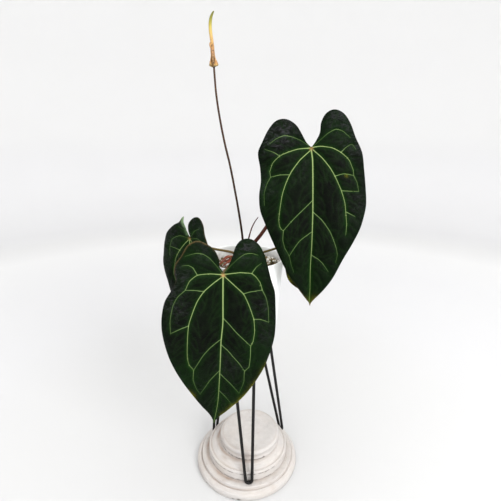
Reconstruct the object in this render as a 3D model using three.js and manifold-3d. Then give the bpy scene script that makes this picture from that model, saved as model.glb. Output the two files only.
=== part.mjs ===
// A velvet-leaved anthurium in a white pot, on three black hairpin legs that stand on a turned, limewashed plinth.
// Millimetres, +Z up. The origin is the centre of the plinth's underside; the front faces -Y.
import * as THREE from 'three';
import { mergeVertices } from 'three/addons/utils/BufferGeometryUtils.js';
import Module from 'manifold-3d';

const wasm = await Module();
wasm.setup();

// Driving dimensions
const clearance = 0.3; // between pieces that rest on or stand in each other
const roundSides = 48; // sides of the turned tiers and of the pot

const lowerTierRadius = 106;
const lowerTierTop = 22;
const middleTierRadius = 82.4;
const middleTierTop = 50.4;
const middleTierX = 2.2; // the tiers are stacked a little off centre
const upperTierRadius = 61.8;
const upperTierTop = 70.5;
const upperTierX = 6.4;

const rodRadius = 3; // hairpin rod
const loopRadius = 6.3; // half the distance between a hairpin's rods at its foot
const footCircle = 88.6; // the feet stand on a circle of this radius
const footCircleX = 3.9;
const legHeadCircle = 43; // the heads meet the ring on this radius of the pot's axis
const legHeadHalfWidth = 22; // half the distance between the rods under the ring
const legs = { leg_front: -89.5, leg_right: 34.5, leg_left: 149 }; // bearing of each hairpin, degrees

const potAxisX = -6.5; // the pot stands a little left of the plinth's centre
const potFloor = 318;
const potRim = 458.2;
const potRimRadius = 75.2;
const potTaper = 0.083; // radius lost for each millimetre below the rim
const potWall = 3.6;
const ringThickness = 3;
const ringOuter = 56;
const ringInner = 34;
const soilTop = 437; // on the pot's axis
const soilSlope = 0.08; // the substrate lies higher to the right

const crownRadius = 9.5;
const crownFoot = 424;
const crownTop = 458;

const bladeEdge = 0.9; // blade thickness between its veins
const bladeRib = 1.6; // more thickness behind a main vein
const rimStep = 9; // point spacing along a blade's margin
const veinStep = 10; // point spacing along its veins
const fillStep = 13; // point spacing between the veins

// Small helpers
const vec = (x, y, z) => new THREE.Vector3(x, y, z);
const degrees = THREE.MathUtils.degToRad;

// Repeatable random numbers between 0 and 1
function dice(seed) {
  let state = seed;
  return () => {
    state = (state * 1664525 + 1013904223) % 4294967296;
    return state / 4294967296;
  };
}

function finish(color, roughness, metalness = 0) {
  return new THREE.MeshStandardMaterial({ color, roughness, metalness });
}

function named(name, geometry, material) {
  const mesh = new THREE.Mesh(geometry, material);
  mesh.name = name;
  return mesh;
}

// Solids for cutting and joining
function toSolid(geometry) {
  const bare = geometry.clone();
  bare.deleteAttribute('normal');
  bare.deleteAttribute('uv');
  const merged = mergeVertices(bare, 1e-4);
  return new wasm.Manifold(new wasm.Mesh({
    numProp: 3,
    vertProperties: new Float32Array(merged.attributes.position.array),
    triVerts: new Uint32Array(merged.index.array),
  }));
}

function toGeometry(solid) {
  const mesh = solid.getMesh();
  const geometry = new THREE.BufferGeometry();
  geometry.setAttribute('position', new THREE.BufferAttribute(mesh.vertProperties, 3));
  geometry.setIndex(new THREE.BufferAttribute(mesh.triVerts, 1));
  return geometry;
}

// A turned piece from its half section, [radius, height] from the axis and back to it
function turned(section, sides = roundSides) {
  const points = section.map(([radius, height]) => new THREE.Vector2(radius, height));
  return new THREE.LatheGeometry(points, sides).rotateX(Math.PI / 2);
}

// A stalk: a cylinder whose rings are moved onto the given stops along its route. radiusAt gives the radius for
// a place along it and a turn around it; flatness thins it one way, into a strip.
function stalk(stops, radiusAt, sides = 8, flatness = 1) {
  const rings = stops.length - 1;
  const geometry = new THREE.CylinderGeometry(1, 1, 1, sides, rings);
  const place = geometry.attributes.position;
  const tangents = stops.map((stop, i) => {
    const next = stops[Math.min(i + 1, rings)];
    const last = stops[Math.max(i - 1, 0)];
    return next.clone().sub(last).normalize();
  });
  const normals = [];
  let normal = Math.abs(tangents[0].z) < 0.9 ? vec(0, 0, 1) : vec(1, 0, 0);
  for (const tangent of tangents) {
    normal = normal.clone().addScaledVector(tangent, -normal.dot(tangent)).normalize();
    normals.push(normal);
  }
  for (let i = 0; i < place.count; i += 1) {
    const ring = Math.round((place.getY(i) + 0.5) * rings);
    const binormal = tangents[ring].clone().cross(normals[ring]);
    const radius = radiusAt(ring / rings, Math.atan2(place.getZ(i), place.getX(i)));
    const point = stops[ring].clone()
      .addScaledVector(normals[ring], -place.getX(i) * radius * flatness)
      .addScaledVector(binormal, place.getZ(i) * radius);
    place.setXYZ(i, point.x, point.y, point.z);
  }
  return geometry;
}

// Evenly spaced stops on a smooth curve through a few chosen points
function route(points, steps) {
  return new THREE.CatmullRomCurve3(points.map((point) => vec(...point))).getSpacedPoints(steps);
}

// Plinth: three turned discs, each with its own moulded edge
function lowerTier() {
  const edge = lowerTierRadius;
  const top = lowerTierTop;
  return turned([
    [0, 0], [edge - 2, 0], [edge, 2.5], [edge, 8], [edge - 1.6, 12], [edge - 5, 15.2],
    [edge - 9.4, 15.6], [edge - 10.4, 17], [edge - 10.8, 21], [edge - 12, top], [0, top],
  ]);
}

function middleTier() {
  const edge = middleTierRadius;
  const foot = lowerTierTop + clearance;
  const top = middleTierTop;
  return turned([
    [0, foot], [edge - 0.8, foot], [edge, foot + 1], [edge, 36.4], [edge - 1.4, 37.2], [edge, 38.2],
    [edge - 0.8, 41.4], [edge - 3.2, 42.4], [edge - 5.4, 42], [edge - 12, 46.8], [edge - 17, 49.6],
    [edge - 20, top], [0, top],
  ]).translate(middleTierX, 0, 0);
}

function upperTier() {
  const edge = upperTierRadius;
  const foot = middleTierTop + clearance;
  const top = upperTierTop;
  return turned([
    [0, foot], [edge - 0.6, foot], [edge - 0.8, foot + 3], [edge - 1.8, 57], [edge - 1.4, 60.6],
    [edge, 63.4], [edge - 0.1, 66], [edge - 1.4, 68.6], [edge - 3.2, 70.1], [edge - 5, top], [0, top],
  ]).translate(upperTierX, 0, 0);
}

// Stand: a flat ring under the pot, and a hairpin rod on each of three bearings
function standRing() {
  const top = potFloor - clearance;
  const bottom = top - ringThickness;
  return turned([
    [ringInner, bottom], [ringOuter, bottom], [ringOuter, top], [ringInner, top], [ringInner, bottom],
  ]);
}

function hairpin(bearing) {
  const angle = degrees(bearing);
  const out = vec(Math.cos(angle), Math.sin(angle), 0);
  const along = vec(-out.y, out.x, 0);
  const footHeight = lowerTierTop + clearance + rodRadius + loopRadius;
  const headHeight = potFloor - 2 * clearance - ringThickness;
  const foot = vec(footCircleX, 0, footHeight).addScaledVector(out, footCircle);
  const head = vec(potAxisX, 0, headHeight).addScaledVector(out, legHeadCircle);
  const stops = [head.clone().addScaledVector(along, -legHeadHalfWidth)];
  const turns = 8;
  for (let i = 0; i <= turns; i += 1) {
    const turn = Math.PI * (i / turns);
    const stop = foot.clone().addScaledVector(along, -loopRadius * Math.cos(turn));
    stops.push(stop.setZ(footHeight - loopRadius * Math.sin(turn)));
  }
  stops.push(head.clone().addScaledVector(along, legHeadHalfWidth));
  const rod = toSolid(stalk(stops, () => rodRadius, 10));
  const underRing = new THREE.BoxGeometry(300, 300, 50).translate(0, 0, headHeight + 25);
  return toGeometry(rod.subtract(toSolid(underRing)));
}

// Pot: a plain tapered wall, with its rim eased inside and out
function potRadius(height) {
  return potRimRadius - potTaper * (potRim - height);
}

function pot() {
  const floor = potFloor;
  const inner = (height) => potRadius(height) - potWall;
  return turned([
    [0, floor], [potRadius(floor) - 3, floor], [potRadius(floor) - 0.8, floor + 1], [potRadius(floor), floor + 3.5],
    [potRadius(potRim - 1.2), potRim - 1.2], [potRimRadius - 1, potRim],
    [potRimRadius - potWall + 0.8, potRim], [inner(potRim - 1), potRim - 1],
    [inner(floor + 8), floor + 8], [inner(floor) - 4, floor + 4.5], [0, floor + 4.5],
  ]);
}

// Substrate: a filled cone with chunks of bark and perlite pressed into its top
function substrate(crown) {
  const inside = (height) => potRadius(height) - potWall - clearance;
  const foot = potFloor + 5;
  const heap = turned([
    [0, foot], [inside(foot) - 4, foot], [inside(foot + 4), foot + 4], [inside(soilTop) + 1, soilTop],
    [inside(soilTop) * 0.55, soilTop + 1.5], [0, soilTop + 2.5],
  ]);
  const place = heap.attributes.position;
  for (let i = 0; i < place.count; i += 1) {
    if (place.getZ(i) >= soilTop) place.setZ(i, place.getZ(i) + soilSlope * place.getX(i));
  }
  const bed = toSolid(heap);
  const well = toSolid(turned([
    [0, foot], [inside(foot) - 4, foot], [inside(foot + 4), foot + 4], [inside(potRim), potRim], [0, potRim],
  ]));
  const roll = dice(41);
  const chunks = [];
  const chunkCount = 84;
  for (let i = 0; i < chunkCount; i += 1) {
    const reach = inside(soilTop) * Math.sqrt((i + 0.5) / chunkCount);
    const bearing = i * 2.39996 + roll() * 0.5;
    const size = 4 + 3.2 * roll();
    const grain = i % 3 === 0
      ? new THREE.IcosahedronGeometry(size * 0.8, 0)
      : new THREE.BoxGeometry(size * 2.1, size * 1.3, size * 0.9);
    grain.rotateX(roll() * 1.2).rotateY(roll() * 1.2).rotateZ(roll() * 6);
    const across = reach * Math.cos(bearing);
    const height = soilTop + soilSlope * across + 0.6 + 2.4 * roll();
    chunks.push(toSolid(grain.translate(across, reach * Math.sin(bearing), height)));
  }
  let filled = bed;
  for (const chunk of chunks) filled = filled.add(chunk);
  return toGeometry(filled.intersect(well).subtract(crown));
}

// The plant and its pot are laid out round the pot's axis
// Crown: the short stem that carries every stalk, ringed by old leaf scars
const crownX = 0.5;

function crownColumn(spare) {
  const section = [[0, crownFoot - spare]];
  const scars = 5;
  for (let i = 0; i <= scars * 2; i += 1) {
    const bulge = i % 2 === 0 ? 0 : 0.8;
    const height = crownFoot + (crownTop - 5 - crownFoot) * (i / (scars * 2));
    section.push([crownRadius - 0.8 + bulge + spare, i === 0 ? height - spare : height]);
  }
  section.push([crownRadius - 3 + spare, crownTop - 1 + spare], [0, crownTop + spare]);
  return turned(section, 14).translate(crownX, 0, 0);
}

// Leaves. A blade is drawn flat in its own millimetres, [across, down] from the point where its petiole joins it.
const leafA = {
  base: [-26.1, -121, 467.2], yaw: 2, tilt: 2, lean: -4.5, length: 279, lobe: 56, halfWidth: 92,
  fold: 5, foldSpan: 27, tipBack: 16, lobeBack: 9, ripple: 2.5, rippleStep: 13, ripplePhase: 0.6,
  dents: [[-76, 2, -7, 13]],
  left: [
    [0, -3], [-6, -13], [-7, -22], [-15, -37], [-26, -45], [-41, -49], [-54, -42], [-63, -25], [-72, -10],
    [-73, 4], [-70, 13], [-77, 31], [-86, 49], [-90, 71], [-89, 100], [-82, 135], [-67, 167], [-45, 203],
    [-24, 233], [-9, 254], [-3, 268], [-1, 279],
  ],
  right: [
    [1, -3], [6, -12], [11, -27], [16, -45], [23, -54], [35, -57], [48, -51], [58, -37], [65, -19],
    [72, 2], [79, 20], [83, 45], [86, 75], [85, 108], [78, 144], [66, 173], [48, 207], [30, 231],
    [9, 257], [2, 269], [-1, 279],
  ],
  veins: [
    { rank: 1, points: [[0, 3], [2, 41], [4, 80], [3, 109], [4, 165], [4, 226], [2, 252], [-1, 275]] },
    { rank: 1, points: [[-2, 4], [-13, 13], [-27, 27], [-37, 45], [-48, 84], [-49, 137], [-46, 154], [-38, 165]] },
    { rank: 1, points: [[3, 3], [14, 12], [32, 27], [40, 41], [51, 68], [54, 90], [53, 106], [50, 115]] },
    { rank: 1, points: [[-3, 0], [-20, -1], [-38, 2], [-49, 12], [-55, 27]] },
    { rank: 1, points: [[3, -1], [25, -6], [42, -6], [49, -1], [56, 8], [60, 19]] },
    { rank: 2, points: [[-55, 27], [-66, 39], [-73, 54], [-77, 80], [-76, 101]] },
    { rank: 2, points: [[60, 19], [67, 32], [72, 49], [75, 73]] },
    { rank: 2, points: [[-38, 165], [-38, 184], [-33, 200], [-26, 212]] },
    { rank: 2, points: [[50, 115], [51, 135], [50, 154], [44, 162], [44, 183], [38, 206]] },
    { rank: 2, points: [[-3, -4], [-13, -16], [-22, -25], [-31, -30], [-40, -31], [-50, -28], [-57, -25]] },
    { rank: 2, points: [[3, -5], [11, -16], [20, -26], [30, -34], [40, -36], [49, -34]] },
    { rank: 2, points: [[-38, 2], [-45, -9], [-52, -12], [-61, -10]] },
    { rank: 2, points: [[42, -6], [48, -16], [55, -22]] },
    { rank: 2, points: [[-27, 27], [-41, 26], [-55, 27]] },
    { rank: 2, points: [[32, 27], [42, 23], [60, 19]] },
    { rank: 2, points: [[-48, 85], [-61, 92], [-75, 101]] },
    { rank: 2, points: [[51, 68], [61, 68], [75, 73]] },
    { rank: 2, points: [[4, 71], [14, 80], [25, 92], [37, 103], [50, 115]] },
    { rank: 2, points: [[3, 108], [-6, 116], [-14, 124], [-23, 136], [-30, 149], [-38, 165]] },
    { rank: 2, points: [[4, 118], [15, 127], [23, 136], [34, 148], [44, 162]] },
    { rank: 2, points: [[3, 167], [-11, 185], [-26, 212]] },
    { rank: 2, points: [[4, 171], [22, 188], [38, 206]] },
    { rank: 2, points: [[4, 205], [15, 215], [26, 228]] },
  ],
};

const leafB = {
  base: [105.6, -66, 648.3], yaw: -6, tilt: 3, lean: 2.2, length: 258, lobe: 53, halfWidth: 86,
  fold: 5, foldSpan: 26, tipBack: 14, lobeBack: 8, ripple: 2.5, rippleStep: 12, ripplePhase: 2.2,
  dents: [[-72, 24, -7, 13], [76, -2, 5, 12]],
  left: [
    [-1, -2], [-7, -8], [-15, -22], [-22, -33], [-33, -41], [-42, -43], [-53, -40], [-64, -28], [-73, -11],
    [-80, 4], [-78, 27], [-77, 47], [-80, 69], [-79, 93], [-71, 116], [-58, 148], [-41, 188], [-20, 224],
    [-7, 244], [-2, 252], [0, 258],
  ],
  right: [
    [1, -2], [6, -9], [12, -21], [14, -36], [22, -49], [33, -53], [45, -48], [55, -34], [64, -10],
    [74, 12], [78, 34], [81, 62], [83, 90], [78, 117], [66, 144], [51, 173], [35, 206], [21, 227],
    [6, 246], [2, 252], [0, 258],
  ],
  veins: [
    { rank: 1, points: [[0, 3], [2, 17], [3, 78], [3, 101], [2, 150], [0, 193], [0, 228], [-1, 252]] },
    { rank: 1, points: [[-2, 4], [-17, 17], [-30, 34], [-38, 50], [-44, 68], [-50, 108], [-48, 120], [-43, 125]] },
    { rank: 1, points: [[3, 3], [16, 15], [28, 30], [35, 42], [45, 64], [51, 83], [55, 117]] },
    { rank: 1, points: [[-3, 0], [-20, 1], [-35, 5], [-47, 10], [-58, 20], [-63, 33]] },
    { rank: 1, points: [[3, -1], [13, -2], [30, 1], [43, 8], [55, 19], [62, 34]] },
    { rank: 2, points: [[-63, 33], [-62, 41], [-67, 50], [-72, 66], [-72, 84]] },
    { rank: 2, points: [[62, 34], [63, 42], [68, 52], [71, 66]] },
    { rank: 2, points: [[-43, 125], [-44, 140], [-41, 153], [-34, 167], [-31, 182], [-27, 195]] },
    { rank: 2, points: [[55, 117], [54, 133]] },
    { rank: 2, points: [[-3, -3], [-17, -12], [-29, -17], [-40, -19], [-52, -15], [-61, -9]] },
    { rank: 2, points: [[3, -3], [13, -11], [24, -20], [35, -25], [45, -22], [55, -13]] },
    { rank: 2, points: [[-47, 10], [-57, 4], [-68, 0]] },
    { rank: 2, points: [[43, 8], [50, 1], [58, -3], [64, 4]] },
    { rank: 2, points: [[-33, 38], [-47, 38], [-62, 41]] },
    { rank: 2, points: [[35, 42], [48, 39], [63, 42]] },
    { rank: 2, points: [[45, 64], [58, 65], [71, 66]] },
    { rank: 2, points: [[54, 97], [67, 104]] },
    { rank: 2, points: [[3, 78], [-17, 97], [-31, 111], [-43, 125]] },
    { rank: 2, points: [[2, 128], [-17, 142], [-26, 154], [-34, 167]] },
    { rank: 2, points: [[3, 96], [17, 109], [30, 128], [40, 154], [42, 166], [40, 178]] },
    { rank: 2, points: [[2, 167], [12, 173], [20, 181], [28, 193]] },
  ],
};

// The two younger leaves share one simpler pattern of veins
const youngVeins = [
  { rank: 1, points: [[0, 3], [0, 30], [0, 60], [0, 96]] },
  { rank: 1, points: [[-2, 3], [-10, 12], [-18, 23], [-27, 39], [-31, 56]] },
  { rank: 1, points: [[2, 3], [10, 12], [18, 23], [27, 39], [31, 56]] },
  { rank: 2, points: [[-31, 56], [-32, 68], [-28, 80]] },
  { rank: 2, points: [[31, 56], [32, 68], [28, 80]] },
  { rank: 2, points: [[-3, 0], [-18, -2], [-34, 6], [-40, 20], [-42, 36]] },
  { rank: 2, points: [[3, 0], [18, -2], [32, 6], [37, 20], [38, 36]] },
  { rank: 2, points: [[-3, -4], [-11, -13], [-21, -17]] },
  { rank: 2, points: [[3, -4], [11, -14], [20, -19]] },
  { rank: 2, points: [[-18, 23], [-28, 21], [-40, 20]] },
  { rank: 2, points: [[0, 42], [-14, 52], [-22, 64], [-28, 80]] },
  { rank: 2, points: [[0, 50], [14, 59], [22, 69], [28, 80]] },
];

const leafC = {
  base: [-86.2, -46, 503.8], yaw: -28, tilt: 3, lean: -2, length: 158, lobe: 38, halfWidth: 58,
  fold: 4, foldSpan: 17, tipBack: 9, lobeBack: 4, ripple: 1.6, rippleStep: 10, ripplePhase: 1,
  dents: [[-10, -28, 6, 7]],
  left: [
    [-1, -3], [-5, -12], [-7, -24], [-10, -36], [-16, -27], [-30, -19], [-45, -4], [-51, 12], [-56, 30],
    [-58, 48], [-51, 72], [-40, 104], [-22, 134], [-6, 152], [-1, 158],
  ],
  right: [
    [1, -3], [-2, -13], [0, -27], [7, -35], [18, -37], [28, -28], [34, -10], [42, 10], [47, 36],
    [46, 66], [37, 100], [21, 132], [4, 152], [-1, 158],
  ],
  veins: [
    ...youngVeins,
    { rank: 2, points: [[0, 96], [0, 125], [-1, 148]] },
  ],
};

const leafD = {
  base: [121.5, 6, 492], yaw: 14, tilt: 4, lean: 2, length: 108, lobe: 27, halfWidth: 48,
  fold: 4, foldSpan: 15, tipBack: 8, lobeBack: 4, ripple: 1.6, rippleStep: 9, ripplePhase: 2,
  dents: [],
  left: [
    [-1, -3], [-4, -13], [-10, -23], [-20, -27], [-32, -22], [-41, -8], [-47, 14], [-50, 38], [-47, 62],
    [-41, 79], [-30, 91], [-14, 102], [-5, 108],
  ],
  right: [
    [1, -3], [4, -13], [10, -23], [20, -26], [32, -20], [41, -6], [46, 16], [46, 40], [39, 64],
    [26, 86], [8, 102], [-5, 108],
  ],
  veins: youngVeins,
};

// The blade's own axes: across, down and out towards the viewer
function bladeAxes({ yaw, tilt, lean }) {
  const turn = degrees(yaw);
  const side = vec(Math.cos(turn), Math.sin(turn), 0);
  const face = vec(Math.sin(turn), -Math.cos(turn), 0);
  const drop = vec(0, 0, -1).multiplyScalar(Math.cos(degrees(tilt))).addScaledVector(face, Math.sin(degrees(tilt)));
  const out = face.multiplyScalar(Math.cos(degrees(tilt))).add(vec(0, 0, Math.sin(degrees(tilt))));
  const swing = degrees(lean);
  return {
    across: side.clone().multiplyScalar(Math.cos(swing)).addScaledVector(drop, -Math.sin(swing)),
    down: drop.clone().multiplyScalar(Math.cos(swing)).addScaledVector(side, Math.sin(swing)),
    out,
  };
}

// How far the blade stands out of its flat plane: folded along the midrib, tip and lobes falling back
function bladeDepth(leaf, s, t) {
  let depth = leaf.fold * Math.sin(Math.abs(s) / leaf.foldSpan);
  depth -= leaf.tipBack * (Math.max(t, 0) / leaf.length) ** 2;
  depth -= leaf.lobeBack * (Math.min(t, 0) / leaf.lobe) ** 2;
  const nearEdge = Math.min(Math.abs(s) / leaf.halfWidth, 1.2) ** 3;
  depth += leaf.ripple * nearEdge * Math.sin(t / leaf.rippleStep + leaf.ripplePhase);
  for (const [ds, dt, height, spread] of leaf.dents) {
    depth += height * Math.exp(-((s - ds) ** 2 + (t - dt) ** 2) / (2 * spread * spread));
  }
  return depth;
}

function smoothLine(points, step) {
  const curve = new THREE.CatmullRomCurve3(points.map(([s, t]) => vec(s, t, 0)));
  const count = Math.max(1, Math.round(curve.getLength() / step));
  return curve.getSpacedPoints(count).map(({ x, y }) => [x, y]);
}

function segmentDistance([px, py], [ax, ay], [bx, by]) {
  const length = (bx - ax) ** 2 + (by - ay) ** 2;
  const along = length === 0 ? 0 : ((px - ax) * (bx - ax) + (py - ay) * (by - ay)) / length;
  const t = THREE.MathUtils.clamp(along, 0, 1);
  return Math.hypot(px - ax - t * (bx - ax), py - ay - t * (by - ay));
}

function lineDistance(point, line) {
  let nearest = Infinity;
  for (let i = 1; i < line.length; i += 1) {
    nearest = Math.min(nearest, segmentDistance(point, line[i - 1], line[i]));
  }
  return nearest;
}

function insideOutline([x, y], outline) {
  let inside = false;
  for (let i = 0, j = outline.length - 1; i < outline.length; j = i, i += 1) {
    const [xi, yi] = outline[i];
    const [xj, yj] = outline[j];
    if ((yi > y) !== (yj > y) && x < ((xj - xi) * (y - yi)) / (yj - yi) + xi) inside = !inside;
  }
  return inside;
}

// Triangles between scattered points, added one point at a time
function triangulate(points) {
  const far = 5000;
  const all = [...points, [-far, -far], [far, -far], [0, far]];
  const first = points.length;
  const circle = (a, b, c) => {
    const [ax, ay] = all[a];
    const [bx, by] = all[b];
    const [cx, cy] = all[c];
    const area = 2 * (ax * (by - cy) + bx * (cy - ay) + cx * (ay - by));
    const a2 = ax * ax + ay * ay;
    const b2 = bx * bx + by * by;
    const c2 = cx * cx + cy * cy;
    const x = (a2 * (by - cy) + b2 * (cy - ay) + c2 * (ay - by)) / area;
    const y = (a2 * (cx - bx) + b2 * (ax - cx) + c2 * (bx - ax)) / area;
    return { corners: [a, b, c], x, y, reach: (ax - x) ** 2 + (ay - y) ** 2 };
  };
  let triangles = [circle(first, first + 1, first + 2)];
  points.forEach(([px, py], index) => {
    const edges = new Map();
    triangles = triangles.filter((triangle) => {
      if ((px - triangle.x) ** 2 + (py - triangle.y) ** 2 > triangle.reach) return true;
      triangle.corners.forEach((corner, i) => {
        const next = triangle.corners[(i + 1) % 3];
        const key = corner < next ? `${corner},${next}` : `${next},${corner}`;
        if (edges.has(key)) edges.delete(key);
        else edges.set(key, [corner, next]);
      });
      return false;
    });
    for (const [a, b] of edges.values()) triangles.push(circle(a, b, index));
  });
  return triangles.map(({ corners }) => corners).filter((corners) => corners.every((corner) => corner < first));
}

// Points of the flat blade: its margin, its veins and an even fill between them
function bladePoints(leaf) {
  const left = smoothLine(leaf.left, rimStep);
  const right = smoothLine(leaf.right, rimStep);
  const outline = [...right.slice(0, -1), ...left.reverse()];
  const veinLines = leaf.veins.map(({ rank, points }) => ({ rank, line: smoothLine(points, veinStep) }));
  const points = [...outline];
  const addIfClear = (point, gap) => {
    const clear = points.every(([x, y]) => Math.hypot(x - point[0], y - point[1]) > gap);
    if (clear && insideOutline(point, outline)) points.push(point);
  };
  for (const { line } of veinLines) {
    for (const point of line) if (lineDistance(point, outline) > rimStep * 0.4) addIfClear(point, veinStep * 0.4);
  }
  const roll = dice(7);
  const rowStep = fillStep * 0.866;
  for (let row = 0, t = -leaf.lobe; t < leaf.length; t += rowStep, row += 1) {
    for (let s = -leaf.halfWidth; s < leaf.halfWidth; s += fillStep) {
      const shift = (row % 2) * fillStep * 0.5;
      const point = [s + shift + roll() * 0.4, t + roll() * 0.4];
      if (lineDistance(point, outline) > rimStep * 0.6) addIfClear(point, fillStep * 0.55);
    }
  }
  return { outline, points, veinLines };
}

function blade(leaf) {
  const { outline, points, veinLines } = bladePoints(leaf);
  const centre = (corners) => [0, 1].map((k) => (
    (points[corners[0]][k] + points[corners[1]][k] + points[corners[2]][k]) / 3));
  const triangles = triangulate(points).filter((corners) => insideOutline(centre(corners), outline));
  const axes = bladeAxes(leaf);
  const base = vec(...leaf.base);
  const puff = 2.4; // the surface swells between the veins
  const position = [];
  const shape = points.map(([s, t]) => {
    const gaps = veinLines.map(({ rank, line }) => ({ rank, gap: lineDistance([s, t], line) }));
    const nearest = Math.min(...gaps.map(({ gap }) => gap));
    const rib = Math.min(...gaps.filter(({ rank }) => rank === 1).map(({ gap }) => gap));
    return {
      depth: bladeDepth(leaf, s, t) + puff * (1 - Math.exp(-nearest / 5)),
      thickness: bladeEdge + bladeRib * Math.exp(-rib / 3),
    };
  });
  for (const side of [0, 1]) {
    points.forEach(([s, t], i) => {
      const depth = shape[i].depth - side * shape[i].thickness;
      const place = base.clone().addScaledVector(axes.across, s).addScaledVector(axes.down, t)
        .addScaledVector(axes.out, depth);
      position.push(place.x, place.y, place.z);
    });
  }
  const index = [];
  const openEdges = new Map();
  const back = points.length;
  for (const [a, b, c] of triangles) {
    const [p, q, r] = [points[a], points[b], points[c]];
    const turning = (q[0] - p[0]) * (r[1] - p[1]) - (q[1] - p[1]) * (r[0] - p[0]);
    const [i, j, k] = turning < 0 ? [a, b, c] : [a, c, b];
    index.push(i, j, k, back + i, back + k, back + j);
    for (const [from, to] of [[i, j], [j, k], [k, i]]) {
      if (openEdges.has(`${to},${from}`)) openEdges.delete(`${to},${from}`);
      else openEdges.set(`${from},${to}`, [from, to]);
    }
  }
  for (const [from, to] of openEdges.values()) {
    index.push(to, from, back + from, to, back + from, back + to);
  }
  const geometry = new THREE.BufferGeometry();
  geometry.setAttribute('position', new THREE.Float32BufferAttribute(position, 3));
  geometry.setIndex(index);
  return geometry;
}

// Stalks, from the crown outwards; each point is [x, y, z]. A petiole ends behind its leaf.
const stalks = {
  petiole_a: {
    color: 0x5b3a22, thick: 2.7, thin: 2.2, steps: 18, leaf: leafA,
    points: [[-2.5, -5, 451], [-3.5, -24, 470], [-5.5, -55, 484], [-10.5, -86, 488], [-19.5, -107, 479]],
  },
  petiole_b: {
    color: 0x4a1f1b, thick: 3.2, thin: 2.5, steps: 18, leaf: leafB,
    points: [
      [4.5, -2, 451], [18.5, -12, 482], [35.5, -20, 507], [63.5, -33, 556], [88.5, -43, 608], [101.5, -50, 640],
    ],
  },
  petiole_c: {
    color: 0x5a4a2a, thick: 2.3, thin: 2, steps: 14, leaf: leafC,
    points: [
      [-4.5, 0, 453], [-16.5, -4, 465], [-29.5, -9, 470], [-51.5, -18, 477], [-70.5, -29, 487], [-81.5, -37, 498],
    ],
  },
  petiole_d: {
    color: 0x54442a, thick: 2.1, thin: 1.8, steps: 14, leaf: leafD,
    points: [[8, 4.5, 450], [18.5, 5, 457], [35.5, 5, 462.5], [59.5, 6, 470], [92.5, 12, 481], [115.5, 17, 491]],
  },
  peduncle: {
    color: 0x3d231f, thick: 2, thin: 1.5, steps: 22,
    points: [
      [1.5, 3, 450], [0.5, 3, 487], [-4.5, 3, 528], [-12.5, 2, 577], [-20.5, 2, 620],
      [-28.5, 2, 655], [-35.5, 1, 692], [-41, 1, 729], [-43.1, 0, 756], [-44.1, 0, 770],
    ],
  },
};

function stalkBody(name, spare = 0) {
  const { points, steps, thick, thin, leaf } = stalks[name];
  const stops = points.map((point) => vec(...point));
  if (leaf) {
    const { down, out } = bladeAxes(leaf);
    const seat = vec(...leaf.base).addScaledVector(down, 1)
      .addScaledVector(out, -(bladeEdge + bladeRib + 2 * clearance));
    stops.push(seat.clone().addScaledVector(out, -8), seat);
  }
  const path = new THREE.CatmullRomCurve3(stops).getSpacedPoints(steps);
  return stalk(path, (t) => THREE.MathUtils.lerp(thick, thin, t) + spare, 8);
}

// Old sheaths round the crown: rust-red papery strips that lie over the substrate on its left
const sheathStrips = [
  [[-7.5, -6, 446], [-13.5, -12, 457], [-21.5, -16, 462], [-30.5, -19, 458], [-39.5, -22, 449]],
  [[-7.5, -6, 446], [-14.5, -15, 454], [-22.5, -22, 455], [-29.5, -28, 450], [-35.5, -33, 445]],
  [[-7.5, -6, 446], [-12.5, -13, 459], [-18.5, -17, 464], [-25.5, -20, 463], [-32.5, -21, 456]],
  [[-7.5, -6, 446], [-9.5, -17, 452], [-15.5, -25, 453], [-20.5, -32, 449], [-23.5, -38, 444]],
  [[-7.5, -6, 446], [-16.5, -10, 453], [-27.5, -14, 455], [-36.5, -16, 452], [-43.5, -17, 446]],
];

function sheaths(spare = 0) {
  let bunch = null;
  sheathStrips.forEach((points, i) => {
    const widest = 3.2 + (i % 2) * 0.8;
    const width = (t) => 1.2 + widest * Math.sin(Math.PI * Math.min(0.15 + t * 0.85, 1)) + spare;
    const strip = toSolid(stalk(route(points, 9), width, 6, 0.22 + spare * 0.1));
    bunch = bunch ? bunch.add(strip) : strip;
  });
  return bunch;
}

function driedSheath(spare = 0) {
  const points = [[3.5, 8, 450], [8.5, 8, 476], [11.9, 7, 491], [17.3, 6, 509.5], [22.5, 5, 520.5], [28, 4, 528.7]];
  return stalk(route(points, 12), (t) => 1.5 - 1.1 * t + spare, 6, 0.6);
}

// Flower spike: a curved spadix, with rows of low knobs, over a withered spathe
const spikeFoot = 770.6;
const spikePoints = [
  [-44.1, 0, spikeFoot], [-45.5, 0, 788], [-46.7, 0, 804], [-48.1, 0, 814], [-49.1, 0, 823], [-48.7, 0, 832],
  [-46.1, 0, 840], [-41.5, 0, 846.5],
];

function spadix() {
  const rings = 34;
  const sides = 10;
  const knob = (t, turn) => {
    const row = Math.round(t * rings);
    const column = Math.round((turn / (2 * Math.PI)) * sides);
    return (row + column) % 2 === 0 ? 0.16 : -0.16;
  };
  const radius = (t, turn) => 2.5 - 1.5 * Math.max(0, (t - 0.72) / 0.28) ** 1.6 + knob(t, turn) * (t < 0.97 ? 1 : 0);
  return stalk(route(spikePoints, rings), radius, sides);
}

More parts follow.
